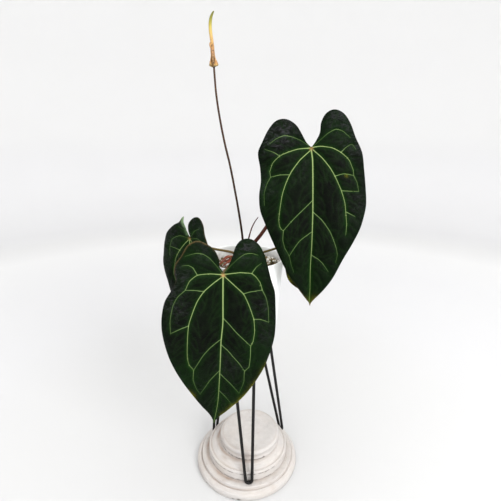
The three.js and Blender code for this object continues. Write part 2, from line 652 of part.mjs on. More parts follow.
function spathe() {
  const inner = [[3.2, 811], [3.1, 795], [4.4, 785], [6.6, 777], [7.1, 771.5]];
  const thickness = 0.8;
  const outer = inner.map(([radius, height]) => [radius + thickness, height]).reverse();
  const geometry = turned([...outer, ...inner, outer[0]], 18);
  const place = geometry.attributes.position;
  for (let i = 0; i < place.count; i += 1) {
    const height = place.getZ(i);
    const turn = Math.atan2(place.getY(i), place.getX(i));
    const skirt = THREE.MathUtils.clamp((795 - height) / 20, 0, 1);
    const swell = 1 + skirt * (0.14 * Math.sin(3 * turn + 0.6) + 0.1 * Math.sin(5 * turn + height * 0.2));
    const bend = THREE.MathUtils.mapLinear(height, spikeFoot, 811, -44.1, -47.6);
    const droop = skirt * 1.6 * Math.sin(2 * turn + 1);
    place.setXYZ(i, bend + place.getX(i) * swell, place.getY(i) * swell, height + droop);
  }
  return geometry;
}

// Everything together
const part = new THREE.Group();
const planter = new THREE.Group();
planter.position.x = potAxisX;
part.add(planter);

const limewash = finish(0xded4cb, 0.85);
part.add(named('plinth_lower', lowerTier(), limewash.clone()));
part.add(named('plinth_middle', middleTier(), limewash.clone()));
part.add(named('plinth_upper', upperTier(), limewash.clone()));

const blackSteel = finish(0x151515, 0.45, 0.6);
planter.add(named('stand_ring', standRing(), blackSteel.clone()));
for (const [name, bearing] of Object.entries(legs)) {
  part.add(named(name, hairpin(bearing), blackSteel.clone()));
}

planter.add(named('pot', pot(), finish(0xf2f2f0, 0.35)));

let crown = toSolid(crownColumn(0));
const buriedCrown = toSolid(crownColumn(clearance));
for (const name of Object.keys(stalks)) crown = crown.subtract(toSolid(stalkBody(name, clearance)));
crown = crown.subtract(toSolid(driedSheath(clearance))).subtract(sheaths(clearance));
planter.add(named('crown', toGeometry(crown), finish(0x6b5a35, 0.8)));
planter.add(named('substrate', substrate(buriedCrown.add(sheaths(clearance))), finish(0x8d7a60, 0.95)));

for (const [name, { color }] of Object.entries(stalks)) {
  planter.add(named(name, stalkBody(name), finish(color, 0.5)));
}
planter.add(named('old_sheaths', toGeometry(sheaths()), finish(0xa5503c, 0.8)));
planter.add(named('dried_sheath', driedSheath(), finish(0x5c3128, 0.8)));
planter.add(named('spadix', spadix(), finish(0xb08a35, 0.7)));
planter.add(named('spathe', spathe(), finish(0xa07c52, 0.85)));

for (const [name, leaf] of Object.entries({ leaf_a: leafA, leaf_b: leafB, leaf_c: leafC, leaf_d: leafD })) {
  planter.add(named(name, blade(leaf), finish(0x1a2a14, 0.55)));
}

export default part;
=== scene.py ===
# A velvet-leaved anthurium in its white pot, on a black hairpin stand over a limewashed turned plinth.
# Metres, +Z up, the front faces -Y. Shapes are written in millimetres and laid out round the pot's axis.
import math
import random

import bmesh
import bpy
import numpy as np
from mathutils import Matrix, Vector, noise
from mathutils.geometry import delaunay_2d_cdt


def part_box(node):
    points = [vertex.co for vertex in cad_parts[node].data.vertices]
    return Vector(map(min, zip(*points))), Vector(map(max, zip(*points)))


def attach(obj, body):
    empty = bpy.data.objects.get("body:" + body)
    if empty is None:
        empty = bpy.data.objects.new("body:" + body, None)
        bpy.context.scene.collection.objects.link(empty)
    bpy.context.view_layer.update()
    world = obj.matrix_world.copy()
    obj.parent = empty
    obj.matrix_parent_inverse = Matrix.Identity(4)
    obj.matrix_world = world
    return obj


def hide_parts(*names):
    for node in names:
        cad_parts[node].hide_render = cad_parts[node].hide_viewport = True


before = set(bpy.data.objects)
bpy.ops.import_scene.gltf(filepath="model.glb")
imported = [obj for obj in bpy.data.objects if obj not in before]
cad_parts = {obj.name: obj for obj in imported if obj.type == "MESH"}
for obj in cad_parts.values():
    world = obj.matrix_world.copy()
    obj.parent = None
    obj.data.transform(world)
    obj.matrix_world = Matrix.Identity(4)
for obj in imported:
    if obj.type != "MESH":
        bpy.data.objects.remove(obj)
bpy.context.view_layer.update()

mm = 0.001
potLow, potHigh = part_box("pot")
# The plant and its pot are laid out round the pot's axis
potAxis = ((potLow.x + potHigh.x) / 2 / mm, (potLow.y + potHigh.y) / 2 / mm)


# Small helpers for making pieces
def deselectAll():
    bpy.ops.object.select_all(action="DESELECT")


def choose(piece):
    deselectAll()
    piece.select_set(True)
    bpy.context.view_layer.objects.active = piece


def newObject(name, data):
    piece = bpy.data.objects.new(name, data)
    bpy.context.scene.collection.objects.link(piece)
    return piece


def settle(piece, material=None, replaced=()):
    choose(piece)
    bpy.ops.object.transform_apply(location=True, rotation=True, scale=True)
    if material:
        piece.data.materials.clear()
        piece.data.materials.append(material)
    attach(piece, "root")
    if replaced:
        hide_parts(*replaced)
    return piece


def meshPiece(name, corners, faces, smooth=True):
    mesh = bpy.data.meshes.new(name)
    mesh.from_pydata([tuple(corner) for corner in corners], [], [tuple(face) for face in faces])
    mesh.validate()
    mesh.polygons.foreach_set("use_smooth", [smooth] * len(mesh.polygons))
    return newObject(name, mesh)


def gridFaces(rows, columns):
    # The faces of a sheet whose corners run row after row
    firsts = [j * (columns + 1) + i for j in range(rows) for i in range(columns)]
    return [(a, a + 1, a + columns + 2, a + columns + 1) for a in firsts]


def thickened(piece, thickness):
    choose(piece)
    sheet = piece.modifiers.new("thickness", "SOLIDIFY")
    sheet.thickness = thickness * mm
    sheet.offset = 0
    bpy.ops.object.modifier_apply(modifier=sheet.name)
    return piece


def atPot(points):
    return np.array(points) + np.array([*potAxis, 0])


def clamped(value):
    return max(0.0, min(1.0, value))


def pointAttribute(piece, name, values):
    attribute = piece.data.attributes.new(name, "FLOAT", "POINT")
    attribute.data.foreach_set("value", np.asarray(values, dtype=np.float32))


def joined(name, pieces):
    choose(pieces[0])
    for piece in pieces:
        piece.select_set(True)
    bpy.ops.object.join()
    pieces[0].name = name
    pieces[0].data.name = name
    return pieces[0]


def wayAlong(line):
    return np.concatenate([[0], np.cumsum(np.linalg.norm(np.diff(line, axis=0), axis=1))])


def smoothLine(points, step, ease=1.0):
    # A smooth curve through the points as evenly spaced stops; less ease turns more sharply at each point
    knots = np.array(points, float)
    knots = np.vstack([2 * knots[0] - knots[1], knots, 2 * knots[-1] - knots[-2]])
    fine = []
    for a, b, c, d in zip(knots, knots[1:], knots[2:], knots[3:]):
        ab, bc, cd = (max(np.linalg.norm(q - p), 1e-6) ** 0.5 for p, q in ((a, b), (b, c), (c, d)))
        leaving = ((b - a) / ab - (c - a) / (ab + bc) + (c - b) / bc) * bc * ease
        arriving = ((c - b) / bc - (d - b) / (bc + cd) + (d - c) / cd) * bc * ease
        for u in np.linspace(0, 1, 12, endpoint=False):
            start = b * (2 * u**3 - 3 * u**2 + 1) + leaving * (u**3 - 2 * u**2 + u)
            fine.append(start + c * (3 * u**2 - 2 * u**3) + arriving * (u**3 - u**2))
    fine.append(knots[-2])
    fine = np.array(fine)
    along = wayAlong(fine)
    marks = np.linspace(0, along[-1], max(1, round(along[-1] / step)) + 1)
    return np.column_stack([np.interp(marks, along, fine[:, k]) for k in range(fine.shape[1])])


# Small helpers for materials. A socket knows its own node tree, so most helpers need only sockets.
def newMaterial(name, roughness, specular, coat=0, sheen=0, sheenRoughness=0.5, sheenTint=(1, 1, 1)):
    material = bpy.data.materials.new(name)
    material.use_nodes = True
    shader = material.node_tree.nodes["Principled BSDF"]
    settings = {
        "Roughness": roughness, "Specular IOR Level": specular, "Coat Weight": coat,
        "Sheen Weight": sheen, "Sheen Roughness": sheenRoughness, "Sheen Tint": (*sheenTint, 1),
    }
    for socket, value in settings.items():
        shader.inputs[socket].default_value = value
    return material, material.node_tree, shader


def linear(hexColour):
    parts = [int(hexColour[i:i + 2], 16) / 255 for i in (1, 3, 5)]
    return tuple(p / 12.92 if p <= 0.04045 else ((p + 0.055) / 1.055) ** 2.4 for p in parts) + (1,)


def place(tree, kind, **settings):
    node = tree.nodes.new(kind)
    for key, value in settings.items():
        if key in node.inputs:
            node.inputs[key].default_value = value
        else:
            setattr(node, key, value)
    return node


def mapped(source, output, scale):
    tree = source.id_data
    mapping = place(tree, "ShaderNodeMapping", Scale=scale)
    tree.links.new(source.outputs[output], mapping.inputs["Vector"])
    return mapping.outputs["Vector"]


def objectCoordinates(tree, scale=(1, 1, 1)):
    return mapped(place(tree, "ShaderNodeTexCoord"), "Object", scale)


def surfaceMap(tree, scale=(1, 1, 1)):
    return mapped(place(tree, "ShaderNodeUVMap", uv_map="flat"), "UV", scale)


def pattern(kind, vector, **settings):
    node = place(vector.id_data, kind, **settings)
    vector.id_data.links.new(vector, node.inputs["Vector"])
    return node


def noiseOf(vector, scale, detail=3, roughness=0.5, distortion=0):
    settings = {"Scale": scale, "Detail": detail, "Roughness": roughness, "Distortion": distortion}
    return pattern("ShaderNodeTexNoise", vector, **settings).outputs["Fac"]


def ramped(value, stops):
    node = place(value.id_data, "ShaderNodeValToRGB")
    ramp = node.color_ramp
    while len(ramp.elements) < len(stops):
        ramp.elements.new(0.5)
    for element, (position, colour) in zip(ramp.elements, stops):
        element.position = position
        element.color = linear(colour) if isinstance(colour, str) else (colour, colour, colour, 1)
    value.id_data.links.new(value, node.inputs["Fac"])
    return node.outputs["Color"]


def feed(socket, value):
    # A socket takes another node's output, a hex colour or a plain number
    if isinstance(value, bpy.types.NodeSocket):
        socket.id_data.links.new(value, socket)
    else:
        socket.default_value = linear(value) if isinstance(value, str) else value


def maths(operation, first, second):
    node = place(first.id_data, "ShaderNodeMath", operation=operation, use_clamp=True)
    feed(node.inputs[0], first)
    feed(node.inputs[1], second)
    return node.outputs["Value"]


def mixed(factor, first, second, blend="MIX"):
    node = place(first.id_data, "ShaderNodeMix", data_type="RGBA", blend_type=blend)
    for name, value in (("Factor", factor), ("A", first), ("B", second)):
        feed(node.inputs[name], value)
    return node.outputs["Result"]


def layered(colour, layers):
    # Lays each tint over the colour, as much as its factor says
    for factor, tint in layers:
        colour = mixed(factor, colour, tint)
    return colour


def markOf(tree, name, share=None):
    # A mark painted on the piece's points, in full or multiplied by a share
    mark = place(tree, "ShaderNodeAttribute", attribute_name=name).outputs["Fac"]
    return mark if share is None else maths("MULTIPLY", mark, share)


def finish(shader, colour, height, strength, distance):
    # The colour and a fine relief
    tree = shader.id_data
    relief = place(tree, "ShaderNodeBump", Strength=strength, Distance=distance)
    tree.links.new(height, relief.inputs["Height"])
    tree.links.new(relief.outputs["Normal"], shader.inputs["Normal"])
    tree.links.new(colour, shader.inputs["Base Color"])


def grainyMaterial(name, roughness, specular, grain, stops, grit, strength, distance, stretch=(1, 1, 1)):
    # One noise gives the tones and a finer one the relief
    material, tree, shader = newMaterial(name, roughness, specular)
    colour = ramped(noiseOf(objectCoordinates(tree, stretch), *grain), stops)
    finish(shader, colour, noiseOf(objectCoordinates(tree), *grit), strength, distance)
    return material


# Leaves. A blade is drawn flat in its own millimetres, [across, down] from where its petiole joins it.
leafA = {
    "base": (-26.1, -121, 467.2), "yaw": 2, "tilt": 2, "lean": -4.5,
    "length": 279, "lobe": 56, "halfWidth": 92, "fold": 5, "foldSpan": 27, "tipBack": 16, "lobeBack": 9,
    "ripple": 2.5, "rippleStep": 13, "ripplePhase": 0.6, "veinSize": 1.0, "knot": 1,
    "dents": [(-76, 2, -7, 13)],
    "left": [
        (0, -3), (-6, -13), (-7, -22), (-15, -37), (-26, -45), (-41, -49), (-54, -42), (-63, -25), (-72, -10),
        (-73, 4), (-70, 13), (-77, 31), (-86, 49), (-90, 71), (-89, 100), (-82, 135), (-67, 167), (-45, 203),
        (-24, 233), (-9, 254), (-3, 268), (-1, 279),
    ],
    "right": [
        (1, -3), (6, -12), (11, -27), (16, -45), (23, -54), (35, -57), (48, -51), (58, -37), (65, -19),
        (72, 2), (79, 20), (83, 45), (86, 75), (85, 108), (78, 144), (66, 173), (48, 207), (30, 231),
        (9, 257), (2, 269), (-1, 279),
    ],
    "mainVeins": [
        [(0, 3), (2, 41), (4, 80), (3, 109), (4, 165), (4, 226), (2, 252), (-1, 275)],
        [(-2, 4), (-13, 13), (-27, 27), (-37, 45), (-48, 84), (-49, 137), (-46, 154), (-38, 165)],
        [(3, 3), (14, 12), (32, 27), (40, 41), (51, 68), (54, 90), (53, 106), (50, 115)],
        [(-3, 0), (-20, -1), (-38, 2), (-49, 12), (-55, 27)],
        [(3, -1), (25, -6), (42, -6), (49, -1), (56, 8), (60, 19)],
    ],
    "sideVeins": [
        [(-55, 27), (-66, 39), (-73, 54), (-77, 80), (-76, 101)],
        [(60, 19), (67, 32), (72, 49), (75, 73)],
        [(-38, 165), (-38, 184), (-33, 200), (-26, 212)],
        [(50, 115), (51, 135), (50, 154), (44, 162), (44, 183), (38, 206)],
        [(-3, -4), (-13, -16), (-22, -25), (-31, -30), (-40, -31), (-50, -28), (-57, -25)],
        [(3, -5), (11, -16), (20, -26), (30, -34), (40, -36), (49, -34)],
        [(-38, 2), (-45, -9), (-52, -12), (-61, -10)],
        [(42, -6), (48, -16), (55, -22)],
        [(-27, 27), (-41, 26), (-55, 27)],
        [(32, 27), (42, 23), (60, 19)],
        [(-48, 85), (-61, 92), (-75, 101)],
        [(51, 68), (61, 68), (75, 73)],
        [(4, 71), (14, 80), (25, 92), (37, 103), (50, 115)],
        [(3, 108), (-6, 116), (-14, 124), (-23, 136), (-30, 149), (-38, 165)],
        [(4, 118), (15, 127), (23, 136), (34, 148), (44, 162)],
        [(3, 167), (-11, 185), (-26, 212)],
        [(4, 171), (22, 188), (38, 206)],
        [(4, 205), (15, 215), (26, 228)],
    ],
    # painted sheen: spots, as across, down, spread and strength, where a grey velvet sheen is painted into
    # the colour
    "paintedSheen": [
        (-70, 6, 14, 1), (-80, 42, 16, 0.9), (28, -40, 12, 0.9), (-60, 66, 14, 0.5), (62, 50, 14, 0.6),
        (70, 96, 12, 0.4), (18, 150, 14, 0.5), (-28, -34, 10, 0.5),
    ],
    "faded": [
        (44, 214, 9, 0.9), (27, 234, 8, 1), (-38, 210, 6, 0.9), (12, 250, 5, 0.6), (58, 186, 9, 0.7),
        (70, 156, 9, 0.5),
    ],
    "fadedReach": 2.2,
    "tanEdge": [(-42, -48, 20, 0.6), (-68, -16, 16, 0.6), (30, 232, 24, 0.15)],
    "lush": [
        (-50, -20, 22, 0.7), (40, -30, 22, 0.7), (66, 130, 26, 0.9), (30, 215, 26, 0.8), (-50, 175, 24, 0.9),
        (-10, 60, 18, 0.4),
    ],
    "pale": [],
}

leafB = {
    "base": (105.6, -66, 648.3), "yaw": -6, "tilt": 3, "lean": 2.2,
    "length": 258, "lobe": 53, "halfWidth": 86, "fold": 5, "foldSpan": 26, "tipBack": 14, "lobeBack": 8,
    "ripple": 2.5, "rippleStep": 12, "ripplePhase": 2.2, "veinSize": 0.95, "knot": 0.55,
    "dents": [(-72, 24, -7, 13), (76, -2, 5, 12)],
    "left": [
        (-1, -2), (-7, -8), (-15, -22), (-22, -33), (-33, -41), (-42, -43), (-53, -40), (-64, -28),
        (-73, -11), (-80, 4), (-78, 27), (-77, 47), (-80, 69), (-79, 93), (-71, 116), (-58, 148),
        (-41, 188), (-20, 224), (-7, 244), (-2, 252), (0, 258),
    ],
    "right": [
        (1, -2), (6, -9), (12, -21), (14, -36), (22, -49), (33, -53), (45, -48), (55, -34), (64, -10),
        (74, 12), (78, 34), (81, 62), (83, 90), (78, 117), (66, 144), (51, 173), (35, 206), (21, 227),
        (6, 246), (2, 252), (0, 258),
    ],
    "mainVeins": [
        [(0, 3), (2, 17), (3, 78), (3, 101), (2, 150), (0, 193), (0, 228), (-1, 252)],
        [(-2, 4), (-17, 17), (-30, 34), (-38, 50), (-44, 68), (-50, 108), (-48, 120), (-43, 125)],
        [(3, 3), (16, 15), (28, 30), (35, 42), (45, 64), (51, 83), (55, 117)],
        [(-3, 0), (-20, 1), (-35, 5), (-47, 10), (-58, 20), (-63, 33)],
        [(3, -1), (13, -2), (30, 1), (43, 8), (55, 19), (62, 34)],
    ],
    "sideVeins": [
        [(-63, 33), (-62, 41), (-67, 50), (-72, 66), (-72, 84)],
        [(62, 34), (63, 42), (68, 52), (71, 66)],
        [(-43, 125), (-44, 140), (-41, 153), (-34, 167), (-31, 182), (-27, 195)],
        [(55, 117), (54, 133)],
        [(-3, -3), (-17, -12), (-29, -17), (-40, -19), (-52, -15), (-61, -9)],
        [(3, -3), (13, -11), (24, -20), (35, -25), (45, -22), (55, -13)],
        [(-47, 10), (-57, 4), (-68, 0)],
        [(43, 8), (50, 1), (58, -3), (64, 4)],
        [(-33, 38), (-47, 38), (-62, 41)],
        [(35, 42), (48, 39), (63, 42)],
        [(45, 64), (58, 65), (71, 66)],
        [(54, 97), (67, 104)],
        [(3, 78), (-17, 97), (-31, 111), (-43, 125)],
        [(2, 128), (-17, 142), (-26, 154), (-34, 167)],
        [(3, 96), (17, 109), (30, 128), (40, 154), (42, 166), (40, 178)],
        [(2, 167), (12, 173), (20, 181), (28, 193)],
    ],
    "paintedSheen": [
        (-60, -18, 18, 1), (-45, -30, 14, 0.9), (40, -38, 14, 0.7), (66, 0, 16, 0.9), (-20, 30, 12, 0.3),
        (68, 84, 16, 0.5), (-68, 60, 12, 0.5),
    ],
    "faded": [(52, 42, 1.5, 1), (6, 248, 7, 0.3)],
    "fadedReach": 60,
    "tanEdge": [(0, 256, 14, 1), (-20, 226, 10, 0.4)],
    "lush": [
        (-60, 60, 24, 0.6), (-30, 170, 24, 0.35), (20, 215, 26, 0.6), (36, -30, 18, 0.6), (50, 130, 24, 0.25),
        (-10, 40, 14, 0.3),
    ],
    "pale": [],
}

youngVeins = {
    "mainVeins": [
        [(0, 3), (0, 30), (0, 60), (0, 96)],
        [(-2, 3), (-10, 12), (-18, 23), (-27, 39), (-31, 56)],
        [(2, 3), (10, 12), (18, 23), (27, 39), (31, 56)],
    ],
    "sideVeins": [
        [(-31, 56), (-32, 68), (-28, 80)],
        [(31, 56), (32, 68), (28, 80)],
        [(-3, 0), (-18, -2), (-34, 6), (-40, 20), (-42, 36)],
        [(3, 0), (18, -2), (32, 6), (37, 20), (38, 36)],
        [(-3, -4), (-11, -13), (-21, -17)],
        [(3, -4), (11, -14), (20, -19)],
        [(-18, 23), (-28, 21), (-40, 20)],
        [(0, 42), (-14, 52), (-22, 64), (-28, 80)],
        [(0, 50), (14, 59), (22, 69), (28, 80)],
    ],
}

leafC = {
    "base": (-86.2, -46, 503.8), "yaw": -28, "tilt": 3, "lean": -2,
    "length": 158, "lobe": 38, "halfWidth": 58, "fold": 4, "foldSpan": 17, "tipBack": 9, "lobeBack": 4,
    "ripple": 1.6, "rippleStep": 10, "ripplePhase": 1, "veinSize": 0.72, "knot": 0.4,
    "dents": [(-10, -28, 6, 7)],
    "left": [
        (-1, -3), (-5, -12), (-7, -24), (-10, -36), (-16, -27), (-30, -19), (-45, -4), (-51, 12), (-56, 30),
        (-58, 48), (-51, 72), (-40, 104), (-22, 134), (-6, 152), (-1, 158),
    ],
    "right": [
        (1, -3), (-2, -13), (0, -27), (7, -35), (18, -37), (28, -28), (34, -10), (42, 10), (47, 36),
        (46, 66), (37, 100), (21, 132), (4, 152), (-1, 158),
    ],
    "mainVeins": youngVeins["mainVeins"],
    "sideVeins": youngVeins["sideVeins"] + [[(0, 96), (0, 125), (-1, 148)]],
    "paintedSheen": [(-40, 0, 14, 0.8), (-44, 34, 16, 0.6), (20, -22, 12, 0.7)],
    "faded": [],
    "fadedReach": 4,
    "tanEdge": [(-10, -34, 5, 1), (40, -10, 20, 0.3)],
    "lush": [(-40, 30, 24, 0.8), (20, -10, 20, 0.8)],
    "pale": [
        (-10, -34, 2.6, 1), (-8.6, -27, 2.6, 1), (-7.2, -20, 2.3, 1), (-5.6, -13, 2, 0.9),
        (-3.8, -7, 1.6, 0.8),
    ],
}

leafD = {
    "base": (121.5, 6, 492), "yaw": 14, "tilt": 4, "lean": 2,
    "length": 108, "lobe": 27, "halfWidth": 48, "fold": 4, "foldSpan": 15, "tipBack": 8, "lobeBack": 4,
    "ripple": 1.6, "rippleStep": 9, "ripplePhase": 2, "veinSize": 0.72, "knot": 0.4,
    "dents": [],
    "left": [
        (-1, -3), (-4, -13), (-10, -23), (-20, -27), (-32, -22), (-41, -8), (-47, 14), (-50, 38), (-47, 62),
        (-41, 79), (-30, 91), (-14, 102), (-5, 108),
    ],
    "right": [
        (1, -3), (4, -13), (10, -23), (20, -26), (32, -20), (41, -6), (46, 16), (46, 40), (39, 64),
        (26, 86), (8, 102), (-5, 108),
    ],
    "mainVeins": youngVeins["mainVeins"],
    "sideVeins": youngVeins["sideVeins"],
    "paintedSheen": [],
    "faded": [(-42, 76, 7, 1)],
    "fadedReach": 3.5,
    "tanEdge": [(-40, 76, 14, 0.4)],
    "lush": [(-40, 60, 22, 1)],
    "pale": [],
}

bladeShape = {
    "edge": 0.9, "rib": 1.6,  # thickness between the veins, and more behind a main vein
    "puff": 2.8,  # swelling between the main and side veins
    "quilt": 1.1,  # finer swelling between the smallest veins
    "rimStep": 1.8, "veinStep": 1.8, "fillStep": 2.1,
    "mainHalf": (0.64, 0.22), "sideHalf": (0.33, 0.22), "smallHalf": 0.3,  # half widths of the veins
    "guides": (-1.9, -0.85, 0, 0.85, 1.9),  # rows of corners along a vein, in shares of its half width
    "veinEase": 0.62,  # the veins turn a little sharply where others join them
    "ridge": 0.3,  # how high a vein stands, as a share of its half width
    "smallGap": 14.0,  # spacing of the smallest veins along a larger one
    "smallStride": 2.0, "smallSteps": 22,  # how far one grows at a time, and how often at most
    "smallNear": 1.6, "smallRim": 3.2,  # it stops this near to another vein, or to the margin
}


def bladeAxes(leaf):
    yaw, tilt, lean = (math.radians(leaf[key]) for key in ("yaw", "tilt", "lean"))
    side = np.array([math.cos(yaw), math.sin(yaw), 0])
    face = np.array([math.sin(yaw), -math.cos(yaw), 0])
    up = np.array([0, 0, 1])
    drop = face * math.sin(tilt) - up * math.cos(tilt)
    out = face * math.cos(tilt) + up * math.sin(tilt)
    across = side * math.cos(lean) - drop * math.sin(lean)
    down = drop * math.cos(lean) + side * math.sin(lean)
    return across, down, out


def bladeDepth(leaf, s, t):
    depth = leaf["fold"] * np.sin(np.abs(s) / leaf["foldSpan"])
    depth -= leaf["tipBack"] * (np.maximum(t, 0) / leaf["length"]) ** 2
    depth -= leaf["lobeBack"] * (np.minimum(t, 0) / leaf["lobe"]) ** 2
    nearEdge = np.minimum(np.abs(s) / leaf["halfWidth"], 1.2) ** 3
    depth += leaf["ripple"] * nearEdge * np.sin(t / leaf["rippleStep"] + leaf["ripplePhase"])
    for ds, dt, height, spread in leaf["dents"]:
        depth += height * np.exp(-((s - ds) ** 2 + (t - dt) ** 2) / (2 * spread * spread))
    return depth


def spots(listed, s, t):
    total = np.zeros(len(s))
    for ds, dt, spread, strength in listed:
        total += strength * np.exp(-((s - ds) ** 2 + (t - dt) ** 2) / (2 * spread * spread))
    return np.clip(total, 0, 1)


def nearestOn(points, lines, halves):
    # For each point, how far the nearest line is, and the least distance as a share of a line's half width
    starts = np.vstack([line[:-1] for line in lines])
    ends = np.vstack([line[1:] for line in lines])
    width = np.concatenate([(half[:-1] + half[1:]) / 2 for half in halves])
    reach = ends - starts
    squared = (reach ** 2).sum(1)
    nearest, share = [], []
    for first in range(0, len(points), 1500):
        gap = points[first:first + 1500, None, :] - starts[None]
        along = np.clip((gap * reach).sum(2) / squared, 0, 1)
        distance = np.linalg.norm(gap - along[..., None] * reach, axis=2)
        nearest.append(distance.min(1))
        share.append((distance / width).min(1))
    return np.concatenate(nearest), np.concatenate(share)


def insideOutline(points, outline):
    inside = np.zeros(len(points), bool)
    x, y = points[:, 0], points[:, 1]
    for (xi, yi), (xj, yj) in zip(outline, np.roll(outline, 1, axis=0)):
        crosses = (yi > y) != (yj > y)
        if yi != yj:
            inside ^= crosses & (x < (xj - xi) * (y - yi) / (yj - yi) + xi)
    return inside


def smallVeins(leaf, lines, outline, roll):
    # The smallest veins leave the larger ones at a slant and stop at the next vein or near the margin
    gap, stride = bladeShape["smallGap"], bladeShape["smallStride"]
    grown = []
    known = np.vstack([smoothLine(line, 1.0) for line in lines])
    closed = np.vstack([outline, outline[:1]])
    for line in lines:
        along = wayAlong(line)
        for side in (-1, 1):
            mark = gap * roll.uniform(0.5, 1)
            while mark < along[-1] - 3:
                here = np.array([np.interp(mark, along, line[:, k]) for k in (0, 1)])
                ahead = np.array([np.interp(mark + 2, along, line[:, k]) for k in (0, 1)]) - here
                heading = math.atan2(ahead[1], ahead[0]) + side * math.radians(roll.uniform(48, 66))
                path = [here]
                for _ in range(bladeShape["smallSteps"]):
                    heading += roll.uniform(-0.12, 0.12) - side * 0.035
                    here = here + stride * np.array([math.cos(heading), math.sin(heading)])
                    path.append(here)
                    toVein, toRim = (np.linalg.norm(near - here, axis=1).min() for near in (known, closed))
                    if toRim < bladeShape["smallRim"] or len(path) > 2 and toVein < bladeShape["smallNear"]:
                        break
                if len(path) > 3:
                    grown.append(np.array(path))
                    known = np.vstack([known, path[2:]])
                mark += gap * roll.uniform(0.8, 1.25)
    return grown


def veinLines(leaf, outline, roll):
    # The veins of each size, with their half widths along them
    step, ease = bladeShape["veinStep"], bladeShape["veinEase"]
    mains = [smoothLine(line, step, ease) for line in leaf["mainVeins"]]
    sides = [smoothLine(line, step, ease) for line in leaf["sideVeins"]]
    smalls = smallVeins(leaf, mains + sides, outline, roll)
    mainHalves = []
    for i, line in enumerate(mains):
        share = 1.1 if i == 0 else 0.66  # the midrib is the widest
        mainHalves.append(np.linspace(*bladeShape["mainHalf"], len(line)) * share * leaf["veinSize"])
    sideHalves = [np.linspace(*bladeShape["sideHalf"], len(line)) * leaf["veinSize"] for line in sides]
    smallHalves = [np.full(len(line), bladeShape["smallHalf"]) for line in smalls]
    return (mains, mainHalves), (sides, sideHalves), (smalls, smallHalves)


def flatBlade(leaf, outline, rim, veins, roll):
    # The drawn blade cut into triangles that follow its veins
    (mains, mainHalves), (sides, sideHalves), (smalls, smallHalves) = veins
    guides = []
    for line, half in zip(mains + sides, mainHalves + sideHalves):
        tangent = np.gradient(line, axis=0)
        normal = np.column_stack([-tangent[:, 1], tangent[:, 0]]) / np.linalg.norm(tangent, axis=1)[:, None]
        guides += [line + normal * (half * share)[:, None] for share in bladeShape["guides"]]
    veinPoints = np.vstack(guides + smalls)
    step = bladeShape["fillStep"]
    fill = []
    for row, t in enumerate(np.arange(-leaf["lobe"], leaf["length"], step * 0.866)):
        for s in np.arange(-leaf["halfWidth"], leaf["halfWidth"], step):
            fill.append((s + (row % 2) * step / 2 + roll.uniform(-0.3, 0.3), t + roll.uniform(-0.3, 0.3)))
    fill = np.array(fill)
    everyHalf = mainHalves + sideHalves + smallHalves
    farFromVein = nearestOn(fill, mains + sides + smalls, everyHalf)[0] > step * 0.55
    fill = fill[farFromVein & insideOutline(fill, outline)]
    fill = fill[nearestOn(fill, *rim)[0] > step * 0.5]
    veinPoints = veinPoints[insideOutline(veinPoints, outline)]
    veinPoints = veinPoints[nearestOn(veinPoints, *rim)[0] > 0.7]
    corners = [Vector(point) for point in np.vstack([outline, veinPoints, fill])]
    loop = [(i, (i + 1) % len(outline)) for i in range(len(outline))]
    flat, _, triangles, _, _, _ = delaunay_2d_cdt(corners, loop, [], 1, 0.12)
    flat = np.array([tuple(corner) for corner in flat])
    triangles = np.array([tuple(triangle) for triangle in triangles])
    p, q, r = (flat[triangles[:, k]] for k in range(3))
    turning = (q[:, 0] - p[:, 0]) * (r[:, 1] - p[:, 1]) - (q[:, 1] - p[:, 1]) * (r[:, 0] - p[:, 0])
    triangles = triangles[np.abs(turning) > 1e-4]
    turning = turning[np.abs(turning) > 1e-4]
    triangles[turning > 0] = triangles[turning > 0][:, ::-1]
    return flat, triangles


def openEdges(triangles):
    edges = {}
    for a, b, c in triangles:
        for pair in ((a, b), (b, c), (c, a)):
            if pair[::-1] in edges:
                del edges[pair[::-1]]
            else:
                edges[pair] = True
    return edges


